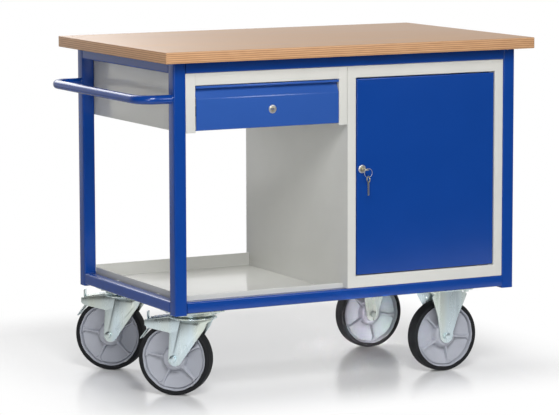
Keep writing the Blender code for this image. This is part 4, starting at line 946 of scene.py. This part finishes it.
def lock_plug(rear, tail_direction, tail_length):
    """Plug face in two halves either side of the key slot, a shank, and the cam behind."""
    front = PLUG_RECESS - LOCK_FLANGE
    floor = front + SLOT_DEPTH
    start = math.degrees(math.asin((KEY_THICKNESS / 2 + PLUG_PLAY) / PLUG_RADIUS))
    solids = []
    for turn in (0, 180):
        half = arc((0, 0), PLUG_RADIUS, turn + start, turn + 180 - start, ROUND_SIDES // 2)
        solids.append(prism(half, "Y", front, floor + LOCK_EASE, PLUG_EASE))
    solids.append(prism(circle(PLUG_RADIUS, ROUND_SIDES), "Y", floor, rear + LOCK_EASE))
    along = Vector(tail_direction)
    across = Vector((-along.y, along.x)) * (CAM_WIDTH / 2)
    tail, tip = along * (-CAM_WIDTH / 2), along * tail_length
    cam = rounded([tail - across, tip - across, tip + across, tail + across], [CAM_CORNER] * 4)
    return joined(*solids, prism(cam, "Y", rear, rear + CAM_THICKNESS, KEY_EASE))


def key_blank(blade_end, bow_middle):
    """Flat key along Y with a pierced round bow, a neck and a toothed blade."""
    half, face = KEY_BLADE / 2, KEY_THICKNESS / 2
    shoulder = bow_middle + KEY_BOW_RADIUS + KEY_SHOULDER
    outline = [(-half, shoulder), (-half, blade_end - MM), (half - KEY_TIP, blade_end)]
    for i in range(int((blade_end - shoulder - 2 * MM) / TOOTH_PITCH)):
        level = blade_end - KEY_TIP - i * TOOTH_PITCH
        root = half - TOOTH_BITES[i % len(TOOTH_BITES)]
        outline += [(root, level), (root, level - 0.4 * TOOTH_PITCH), (half, level - 0.7 * TOOTH_PITCH)]
    blade = prism(outline + [(half, shoulder)], "Z", -face, face)
    section = rounded(rectangle((KEY_EYE_RADIUS, -face), (KEY_BOW_RADIUS, face)), [KEY_EASE] * 4, 2)
    bow = placed(spun(section, ROUND_SIDES), Matrix.Translation((0, bow_middle, 0)))
    neck = rounded_rectangle((-half, bow_middle + KEY_EYE_RADIUS + MM), (half, shoulder + MM), MM)
    return joined(blade, bow, prism(neck, "Z", -face, face, PLUG_EASE))


class TROLLEY_OT_locks_and_keys(bpy.types.Operator):
    """Lock barrels, plugs with cams, the key in the door, its ring and the spare key"""
    bl_idname = "trolley.locks_and_keys"
    bl_label = "Locks and keys"

    def execute(self, context):
        for name, tail in (("door", (0, -1)), ("drawer", (-1, 0))):
            centre = joint_place(f"{name}_lock_turn")
            move = Matrix.Translation(centre)
            low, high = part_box(f"{name}_lock_plug")
            rear = high.y - centre.y - CAM_THICKNESS
            reach = centre.z - low.z if tail[1] else centre.x - low.x
            dress(f"{name}_lock_barrel", placed(lock_barrel(rear - CAM_GAP), move))
            dress(f"{name}_lock_plug", placed(lock_plug(rear, tail, reach), move), "nickel_silver")
        self.keys()
        return {"FINISHED"}

    @staticmethod
    def keys():
        centre = joint_place("door_lock_turn")
        low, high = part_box("door_key")
        key = key_blank(high.y - centre.y, low.y + KEY_BOW_RADIUS - centre.y)
        dress("door_key", placed(key, Matrix.Translation(centre)), "nickel_silver")

        pivot = joint_place("key_ring_swing")
        count = RING_TURNS * ROUND_SIDES
        coil = []
        for i in range(count + 1):
            x, z = polar(RING_RADIUS, 90 - 360 * RING_TURNS * i / count)
            coil.append(pivot + Vector((x, RING_RISE * (i / count - 0.5), z - RING_RADIUS)))
        dress("key_ring", swept(coil, RING_WIRE, WIRE_SIDES))

        low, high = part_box("spare_key")
        eye = Vector(((low.x + high.x) / 2, (low.y + high.y) / 2, high.z - KEY_BOW_RADIUS))
        turn = Matrix.Rotation(math.radians(90), 4, "Z") @ Matrix.Rotation(math.radians(-90), 4, "X")
        spare = key_blank(KEY_BOW_RADIUS + SPARE_BLADE, 0.0)
        dress("spare_key", placed(spare, Matrix.Translation(eye) @ turn), "nickel_silver")


def caster_matrix(place):
    """From a wheel's own axes, with its axle along Y, to where it stands."""
    joint = JOINTS[f"wheel_spin_{place}"]
    axis = joint["axis"]
    turn = Matrix.Rotation(math.atan2(-axis[0], axis[1]), 4, "Z")
    return Matrix.Translation(joint["pos_m"]) @ turn


def fade(value, start, end):
    """One up to start, then smoothly down to nothing at end."""
    share = min(1.0, max(0.0, (end - value) / (end - start)))
    return share * share * (3 - 2 * share)


def wheel_face(radius, away, ring_inside, ring_face, hub_face):
    """Height of the wheel centre's face at a radius and at a distance away from the nearest rib."""
    from_hub, to_ring = radius - HUB_RADIUS, ring_inside - radius
    if from_hub <= 0:
        return hub_face - max(0.0, from_hub + HUB_CHAMFER)
    if radius >= ring_inside + RING_EASE:
        return ring_face - max(0.0, RIM_EASE - RIM_RING - to_ring)
    dish = WEB_AT_HUB + (WEB_AT_RING - WEB_AT_HUB) * from_hub / (ring_inside - HUB_RADIUS)
    web = dish + (hub_face - HUB_CHAMFER - dish) * fade(from_hub, 0.0, HUB_FILLET)
    web += (ring_face - RING_EASE - dish) * fade(to_ring, 0.0, RING_FILLET)
    flare = fade(to_ring, *FLARE_AT_RING) ** 2 + 0.5 * fade(from_hub, 0.0, FLARE_AT_HUB) ** 2
    half = RIB_HALF + RIB_FLARE * flare
    rib = fade(away, half + RIB_EASE[0], half + RIB_EASE[1])
    groove = fade(abs(to_ring - RING_GROOVE / 2), RING_GROOVE / 4, RING_GROOVE / 2)
    return web + max(0.0, RIB_FACE - web) * rib - GROOVE_DEPTH * groove


def wheel_rim(rim_radius, ring_face, hub_face, rib_angle):
    """Moulded wheel centre: hub, dished web with raised ribs and an outer ring, both sides alike."""
    ring_inside = rim_radius - RIM_RING
    pitch = 360.0 / RIB_COUNT
    beside = [line * MM for line in RIB_LINES]
    columns = []
    for rib in range(RIB_COUNT):
        start = rib_angle + pitch * rib
        columns += [(start, offset, offset) for offset in beside]
        columns += [(start + pitch * share, 0.0, rim_radius) for share in BETWEEN_RIBS]
        columns += [(start + pitch, -offset, offset) for offset in beside[:0:-1]]
    radii = [AXLE_RADIUS + AXLE_PLAY, HUB_RADIUS - HUB_CHAMFER, HUB_RADIUS - HUB_CHAMFER / 2, HUB_RADIUS]
    radii += [HUB_RADIUS + line * MM for line in HUB_LINES]
    radii += [ring_inside - line * MM for line in RING_LINES]
    radii += [ring_inside + RING_EASE, rim_radius - RIM_EASE, rim_radius]
    front = []
    for radius in radii:
        row = []
        for angle, offset, away in columns:
            x, z = polar(radius, angle + math.degrees(offset / max(radius, HUB_RADIUS)))
            row.append((x, wheel_face(radius, away, ring_inside, ring_face, hub_face), z))
        front.append(row)
    back = [[(x, -y, z) for x, y, z in row] for row in front[::-1]]
    return loft(front + back, ring=True)


def wheel_tyre(inside, tread, side, shoulder):
    """Solid tyre with round shoulders, a slightly crowned tread and a moulded line on its flanks."""
    edge, wall = tread - TREAD_CROWN, side - shoulder
    half = [(inside + out * MM, side - back * MM) for out, back in TYRE_LINE]
    half += [(edge - shoulder, side)] + arc((edge - shoulder, wall), shoulder, 75, 15, CORNER_STEPS)
    half += [(edge, wall), (tread - TREAD_CROWN / 3, wall / 2), (tread, TREAD_FLAT)]
    return spun(half + [(radius, -height) for radius, height in half[::-1]], WHEEL_SIDES, "Y")


class TROLLEY_OT_wheels(bpy.types.Operator):
    """Four wheels: moulded centre and rubber tyre"""
    bl_idname = "trolley.wheels"
    bl_label = "Wheels"

    def execute(self, context):
        shoulder = context.scene.trolley_sizes.tyre_shoulder
        tyre_low, tyre_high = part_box("wheel_tyre_front_right")
        rim_low, rim_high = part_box("wheel_rim_front_right")
        tread, side = (tyre_high.z - tyre_low.z) / 2, (tyre_high.y - tyre_low.y) / 2
        rim_radius, hub_face = (rim_high.z - rim_low.z) / 2, (rim_high.y - rim_low.y) / 2
        for place in ("front_left", "back_left", "front_right", "back_right"):
            angle = SWIVEL_RIB_ANGLE if place.endswith("left") else FIXED_RIB_ANGLE
            matrix = caster_matrix(place)
            rim = wheel_rim(rim_radius, side - RING_SETBACK, hub_face, angle)
            dress(f"wheel_rim_{place}", placed(rim, matrix))
            tyre = wheel_tyre(rim_radius + TYRE_GAP, tread, side, shoulder)
            dress(f"wheel_tyre_{place}", placed(tyre, matrix))
        return {"FINISHED"}


def caster_plate(middle, size, top, edge):
    """Mounting plate with round corners and four bolts with their heads below."""
    half, centre = Vector(size) / 2, Vector((middle, 0))
    underside = top - PLATE_THICKNESS
    solids = [prism(rounded_rectangle(centre - half, centre + half, PLATE_CORNER), "Z", underside, top, edge)]
    for x in (-BOLT_SPACING[0] / 2, BOLT_SPACING[0] / 2):
        for y in (-BOLT_SPACING[1] / 2, BOLT_SPACING[1] / 2):
            down = Matrix.Translation((middle + x, y, underside)) @ Matrix.Rotation(math.pi, 4, "X")
            solids.append(placed(hexagon_head(BOLT_RADIUS, BOLT_HEAD), down))
    return solids


def axle_bolt():
    """Axle with a hexagonal head and a nut outside the fork's cheeks."""
    seat = CHEEK_OUTSIDE + AXLE_SEAT
    solids = [prism(circle(AXLE_RADIUS, ROUND_SIDES), "Y", -seat - MM, seat + MM)]
    for turn in (90, -90):
        outward = Matrix.Rotation(math.radians(turn), 4, "X") @ Matrix.Translation((0, 0, seat))
        solids.append(placed(hexagon_head(AXLE_HEAD_RADIUS, AXLE_HEAD), outward))
    return joined(*solids)


def raised_panel(outline, level, rise):
    """Pressed panel that stands out of a sheet along Y, with sloping sides."""
    middle = sum((Vector(point) for point in outline), Vector((0, 0))) / len(outline)
    rows = [(1.0, level - math.copysign(MM, rise)), (1.0, level)]
    rows += [(PANEL_SHARE, level + 0.85 * rise), (0.97 * PANEL_SHARE, level + rise)]
    return loft([at_level([middle.lerp(Vector(point), share) for point in outline], "Y", height)
                 for share, height in rows])


def swivel_fork(trail, head_top, edge):
    """Pressed fork: round head, crown with a drooping nose, two cheeks with an arm each."""
    eye = arc((SWIVEL_EYE[0], 0), SWIVEL_EYE[1], 185, 330, 3 * CORNER_STEPS)
    upper = [(trail + x * MM, head_top - drop * MM) for x, drop, corner in SWIVEL_ARM]
    upper += [(x * MM, head_top - drop * MM) for x, drop, corner in SWIVEL_NOSE]
    corners = [corner * MM for x, drop, corner in SWIVEL_ARM + SWIVEL_NOSE]
    cheek = rounded(eye + upper, [0] * len(eye) + corners)
    panel = [(x * MM, z * MM) for x, z in PANEL_FOOT]
    panel += [(trail + x * MM, head_top - drop * MM) for x, drop in PANEL_TOP]
    panel = rounded(panel, [PANEL_CORNER] * len(panel))

    underside, rim = head_top - HEAD_THICKNESS, HEAD_RADIUS - HEAD_EASE
    profile = [(KINGPIN_RADIUS, underside), (rim, underside)]
    profile += arc((rim, head_top - HEAD_EASE), HEAD_EASE, 0, 90, CORNER_STEPS) + [(KINGPIN_RADIUS, head_top)]
    head = placed(spun(profile, ROUND_SIDES), Matrix.Translation((trail, 0, 0)))
    crest = head_top - CROWN_INSET
    profile = [(x * MM, crest - drop * MM) for x, drop in CROWN_LINE] + [(trail, crest)]
    crown = bent(profile, HEAD_THICKNESS - 2 * CROWN_INSET, CROWN_BEND, edge)
    solids = [head, prism(crown, "Y", -CHEEK_OUTSIDE, CHEEK_OUTSIDE, CROWN_EASE)]
    for side in (1, -1):
        solids.append(prism(cheek, "Y", *sorted((side * CHEEK_INSIDE, side * CHEEK_OUTSIDE)), edge))
        solids.append(raised_panel(panel, side * CHEEK_OUTSIDE, side * PANEL_RISE))
    return joined(*solids)


def extent(outline, level):
    """Least and greatest first coordinate of a closed outline at a level of the second."""
    hits = []
    for (x1, z1), (x2, z2) in zip(outline, outline[1:] + outline[:1]):
        if min(z1, z2) <= level <= max(z1, z2) and z1 != z2:
            hits.append(x1 + (x2 - x1) * (level - z1) / (z2 - z1))
    return min(hits), max(hits)


def flank(x):
    """How far the fixed fork's cheek turns outwards at a place along the wheel."""
    beyond = max(FIXED_PANEL[0] - x, x - FIXED_PANEL[1])
    return math.tan(math.radians(FIXED_FLANK_ANGLE)) * (math.hypot(beyond, FLANK_FOLD) + beyond) / 2


def fixed_cheek(side, top, edge):
    """Pressed cheek: a flat panel beside the hub and flanks that turn away from the wheel."""
    eye_x, eye_radius = FIXED_EYE
    eye = arc((eye_x, 0), eye_radius, 172, 340, 4 * CORNER_STEPS)
    neck = [(x, top - CHEEK_DROP) for x in FIXED_NECK]
    front, back = ([(x * MM, z * MM) for x, z, corner in line] for line in (FIXED_FRONT, FIXED_BACK))
    corners = [[corner * MM for x, z, corner in line] for line in (FIXED_FRONT, FIXED_BACK)]
    outline = rounded(eye + front + neck + back, [0] * len(eye) + corners[0] + [0, 0] + corners[1])
    low = min(z for x, z in outline)
    levels = [low + eye_radius * (1 - math.cos(math.radians(a))) for a in range(6, 91, 12)]
    levels += [level * MM for level in FIXED_LEVELS] + [top - CHEEK_DROP]
    bends = [x + line * MM for x in FIXED_PANEL for line in FLANK_LINES]
    rows = []
    for level in levels:
        left, right = extent(outline, level)
        places = [min(max(x, left + edge), right - edge) for x in [left] + bends + [right]]
        outer = [(x, CHEEK_OUTSIDE + flank(x)) for x in places]
        inner = [(x, CHEEK_INSIDE + flank(x)) for x in places[::-1]]
        right_end = [(right, outer[-1][1] - edge), (right, inner[0][1] + edge)]
        left_end = [(left, inner[-1][1] + edge), (left, outer[0][1] - edge)]
        rows.append([(x, side * y, level) for x, y in outer + right_end + inner + left_end])
    solid = loft(rows)
    bmesh.ops.remove_doubles(solid, verts=solid.verts, dist=1e-6)
    return solid


def swivel_plate(size, top, head_top, edge):
    """Plate with the pressed upper race, kingpin and king nut, round the swivel axis."""
    underside = top - PLATE_THICKNESS
    root, lip, core = underside + MM, head_top + RACE_SLOT, head_top + RACE_GAP
    profile = [(KINGPIN_RADIUS, root), (RACE_RADIUS - RACE_SHOULDER, root)]
    profile += [(RACE_RADIUS, root - RACE_SHOULDER), (RACE_RADIUS, lip + RACE_LIP)]
    profile += [(RACE_RADIUS - RACE_LIP, lip), (RACE_CORE, lip), (RACE_CORE, core), (KINGPIN_RADIUS, core)]
    race = spun(profile, ROUND_SIDES)
    nut_top = head_top - HEAD_THICKNESS
    pin = prism(circle(KINGPIN_RADIUS, ROUND_SIDES), "Z", nut_top - KING_NUT, underside, MM)
    down = Matrix.Translation((0, 0, nut_top)) @ Matrix.Rotation(math.pi, 4, "X")
    nut = placed(hexagon_head(KING_NUT_RADIUS, KING_NUT - MM), down)
    return joined(race, pin, nut, *caster_plate(0.0, size, top, edge))


def brake_pedal(pivot, wheel_radius, edge):
    """Bent pedal with two pressed beads, its pivot boss and an upright release tab."""
    end, bend = (polar(wheel_radius + PEDAL_STANDOFF, angle) - pivot
                 for angle in (PEDAL_END_ANGLE, PEDAL_BEND_ANGLE))
    half = CHEEK_INSIDE - PIVOT_PLAY
    boss = prism(circle(PIVOT_BOSS, ROUND_SIDES), "Y", -half, half, MM)
    line = bent([end, bend, (0, PIVOT_BOSS / 2)], PEDAL_SHEET, PEDAL_BEND, MM)
    blade = prism(line, "Y", -PEDAL_WIDTH / 2, PEDAL_WIDTH / 2, edge)
    line = bent([(0, 0), (-TAB_SETBACK, TAB_FOOT), (-TAB_SETBACK, TAB_RISE)], PEDAL_SHEET, TAB_BEND, MM)
    tab = prism(line, "Y", -TAB_WIDTH / 2, TAB_WIDTH / 2, edge)
    route = [bend.lerp(end, share) for share, radius in PEDAL_BEAD]
    radii = [radius * MM for share, radius in PEDAL_BEAD]
    beads = [swept(at_level(route, "Y", y), radii, WIRE_SIDES) for y in (-PEDAL_WIDTH / 4, PEDAL_WIDTH / 4)]
    return joined(boss, blade, tab, *beads)


class TROLLEY_OT_swivel_casters(bpy.types.Operator):
    """Two swivel casters: plate, fork, axle bolt and brake pedal"""
    bl_idname = "trolley.swivel_casters"
    bl_label = "Swivel casters"

    def execute(self, context):
        edge = context.scene.trolley_sizes.fork_edge
        for place in ("front_left", "back_left"):
            matrix = caster_matrix(place)
            axle, swivel = joint_place(f"wheel_spin_{place}"), joint_place(f"swivel_turn_{place}")
            trail = (swivel - axle).xy.length
            low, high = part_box(f"caster_plate_{place}")
            head_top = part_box(f"caster_fork_{place}")[1].z - axle.z
            plate = swivel_plate((high - low).xy, high.z - axle.z, head_top, edge)
            above = Matrix.Translation((swivel.x, swivel.y, axle.z))
            dress(f"caster_plate_{place}", placed(plate, above))
            dress(f"caster_fork_{place}", placed(swivel_fork(trail, head_top, edge), matrix))
            dress(f"caster_axle_{place}", placed(axle_bolt(), matrix))
            hinge = matrix.inverted() @ joint_place(f"brake_press_{place}")
            pedal = brake_pedal(hinge.xz, axle.z, edge)
            dress(f"brake_pedal_{place}", placed(pedal, matrix @ Matrix.Translation(hinge)))
        return {"FINISHED"}


class TROLLEY_OT_fixed_casters(bpy.types.Operator):
    """Two fixed casters: fork with its plate, and axle bolt"""
    bl_idname = "trolley.fixed_casters"
    bl_label = "Fixed casters"

    def execute(self, context):
        edge = context.scene.trolley_sizes.fork_edge
        for place in ("front_right", "back_right"):
            matrix = caster_matrix(place)
            low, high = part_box(f"caster_fork_{place}")
            top = high.z - joint_place(f"wheel_spin_{place}").z
            plate = caster_plate(PLATE_OFFSET, (high - low).xy, top, edge)
            fork = joined(*plate, fixed_cheek(-1, top, edge), fixed_cheek(1, top, edge))
            dress(f"caster_fork_{place}", placed(fork, matrix))
            dress(f"caster_axle_{place}", placed(axle_bolt(), matrix))
        return {"FINISHED"}


def studio_floor(rgb):
    """Painted studio floor: pale, half-gloss, and lit to white away from the trolley."""
    material, add, shader, place = new_material("painted_studio_floor")
    plug(shader, {"Base Color": (*rgb, 1.0), "Roughness": 0.20})
    moved = add("VectorMath", {0: place, 1: SHADE_MIDDLE}, operation="SUBTRACT")
    either_side = add("VectorMath", {0: moved}, operation="ABSOLUTE")
    beyond = add("VectorMath", {0: either_side, 1: SHADE_HALF}, operation="SUBTRACT")
    outside = add("VectorMath", {0: beyond}, operation="MAXIMUM")
    far = add("VectorMath", {0: outside}, operation="LENGTH")
    whiter = add("MapRange", {"Value": far, "From Max": SHADE_FADE, "To Min": SHADE_WHITE},
                 interpolation_type="SMOOTHSTEP")
    rays = add("LightPath").outputs
    camera, mirrored = rays["Is Camera Ray"], rays["Is Glossy Ray"]
    seen = add("Math", {0: mirrored, 1: camera}, operation="MAXIMUM")
    share = add("Math", {0: whiter, 1: seen}, operation="MULTIPLY")
    # Glossy surfaces mirror a floor that grows dimmer to the back left, as the room does.
    corner = add("VectorMath", {0: place, 1: DIM_WAY}, operation="DOT_PRODUCT")
    dimmed = add("MapRange", {"Value": corner, "From Min": DIM_REACH[0], "From Max": DIM_REACH[1],
                              "To Min": 1.0, "To Max": DIM_LEVEL})
    level = add("Math", {0: dimmed, 1: camera}, operation="MAXIMUM")
    white = add("Emission", {"Strength": level})
    mix = add("MixShader", {0: share, 1: shader, 2: white})
    plug(material.node_tree.nodes["Material Output"], {"Surface": mix})
    return material


class TROLLEY_OT_stage(bpy.types.Operator):
    """Floor, soft studio light, white surroundings and the camera"""
    bl_idname = "trolley.stage"
    bl_label = "Stage"

    def execute(self, context):
        scene = context.scene
        self.floor(scene)
        self.world(scene)
        for lamp in LAMPS:
            self.lamp(scene, *lamp)
        self.camera(scene)
        scene.view_settings.view_transform = "Standard"
        return {"FINISHED"}

    @staticmethod
    def floor(scene):
        solid = bmesh.new()
        solid.faces.new([solid.verts.new((x, y, 0.0)) for x, y in rectangle(*FLOOR_CORNERS)])
        mesh = bpy.data.meshes.new("studio_floor")
        solid.to_mesh(mesh)
        solid.free()
        mesh.materials.append(studio_floor(scene.trolley_colours.floor))
        ground = bpy.data.objects.new("studio_floor", mesh)
        scene.collection.objects.link(ground)

    @staticmethod
    def world(scene):
        world = bpy.data.worlds.new("white_studio")
        world.use_nodes = True
        add = functools.partial(add_node, world.node_tree)
        rays = add("LightPath").outputs
        camera, mirrored = rays["Is Camera Ray"], rays["Is Glossy Ray"]
        way = add("TexCoord").outputs["Generated"]
        ahead = add("VectorMath", {0: way, 1: BACKDROP_WAY}, operation="DOT_PRODUCT")
        front, behind = (add("MapRange", {"Value": mirrored, "To Min": light, "To Max": mirror})
                         for light, mirror in (ROOM_IN_FRONT, ROOM_AT_BACKDROP))
        room = add("MapRange", {"Value": ahead, "From Min": ROOM_TURN[0], "From Max": ROOM_TURN[1],
                                "To Min": front, "To Max": behind}, interpolation_type="SMOOTHSTEP")
        strength = add("Math", {0: room, 1: camera}, operation="MAXIMUM")
        plug(world.node_tree.nodes["Background"], {"Color": (1.0, 1.0, 1.0, 1.0), "Strength": strength})
        scene.world = world

    @staticmethod
    def lamp(scene, name, place, target, size, power, spread):
        light = bpy.data.lights.new(name, "AREA")
        light.shape = "SQUARE"
        light.size = size
        light.energy = power
        light.spread = math.radians(spread)
        lamp = bpy.data.objects.new(name, light)
        lamp.location = place
        lamp.rotation_euler = (Vector(target) - Vector(place)).to_track_quat("-Z", "Y").to_euler()
        scene.collection.objects.link(lamp)

    @staticmethod
    def camera(scene):
        yaw, pitch = math.radians(CAMERA_YAW), math.radians(CAMERA_PITCH)
        ahead = Vector((-math.sin(yaw) * math.cos(pitch), math.cos(yaw) * math.cos(pitch), math.sin(pitch)))
        right = Vector((ahead.y, -ahead.x, 0.0)).normalized()
        turn = Matrix((right, right.cross(ahead), -ahead)).transposed().to_4x4()
        roll = Matrix.Rotation(math.radians(CAMERA_ROLL), 4, "Z")
        data = bpy.data.cameras.new("camera")
        data.sensor_width = SENSOR_WIDTH
        data.lens = SENSOR_WIDTH * FOCAL_PIXELS / IMAGE_WIDTH
        data.clip_end = CAMERA_REACH
        camera = bpy.data.objects.new("camera", data)
        camera.matrix_world = Matrix.Translation(CAMERA_PLACE) @ turn @ roll
        scene.collection.objects.link(camera)
        scene.camera = camera


OPERATORS = (
    TROLLEY_OT_worktop,
    TROLLEY_OT_tube_frame,
    TROLLEY_OT_push_handle,
    TROLLEY_OT_shelf_tray,
    TROLLEY_OT_cabinet,
    TROLLEY_OT_door,
    TROLLEY_OT_drawer_unit,
    TROLLEY_OT_locks_and_keys,
    TROLLEY_OT_wheels,
    TROLLEY_OT_swivel_casters,
    TROLLEY_OT_fixed_casters,
    TROLLEY_OT_stage,
)


class TROLLEY_PT_sidebar(bpy.types.Panel):
    """Sizes, colours and the steps that make the trolley"""
    bl_idname = "TROLLEY_PT_sidebar"
    bl_label = "Trolley"
    bl_space_type = "VIEW_3D"
    bl_region_type = "UI"
    bl_category = "Trolley"

    def draw(self, context):
        layout = self.layout
        for group in (context.scene.trolley_sizes, context.scene.trolley_colours):
            for name in group.__annotations__:
                layout.prop(group, name)
        for operator in OPERATORS:
            layout.operator(operator.bl_idname)


CLASSES = (TrolleySizes, TrolleyColours, *OPERATORS, TROLLEY_PT_sidebar)


def register():
    for item in CLASSES:
        bpy.utils.register_class(item)
    bpy.types.Scene.trolley_sizes = PointerProperty(type=TrolleySizes)
    bpy.types.Scene.trolley_colours = PointerProperty(type=TrolleyColours)


def unregister():
    del bpy.types.Scene.trolley_colours
    del bpy.types.Scene.trolley_sizes
    for item in reversed(CLASSES):
        bpy.utils.unregister_class(item)


def main():
    register()
    for operator in OPERATORS:
        group, name = operator.bl_idname.split(".")
        getattr(getattr(bpy.ops, group), name)()
    paint_rest()


if __name__ == "__main__":
    main()
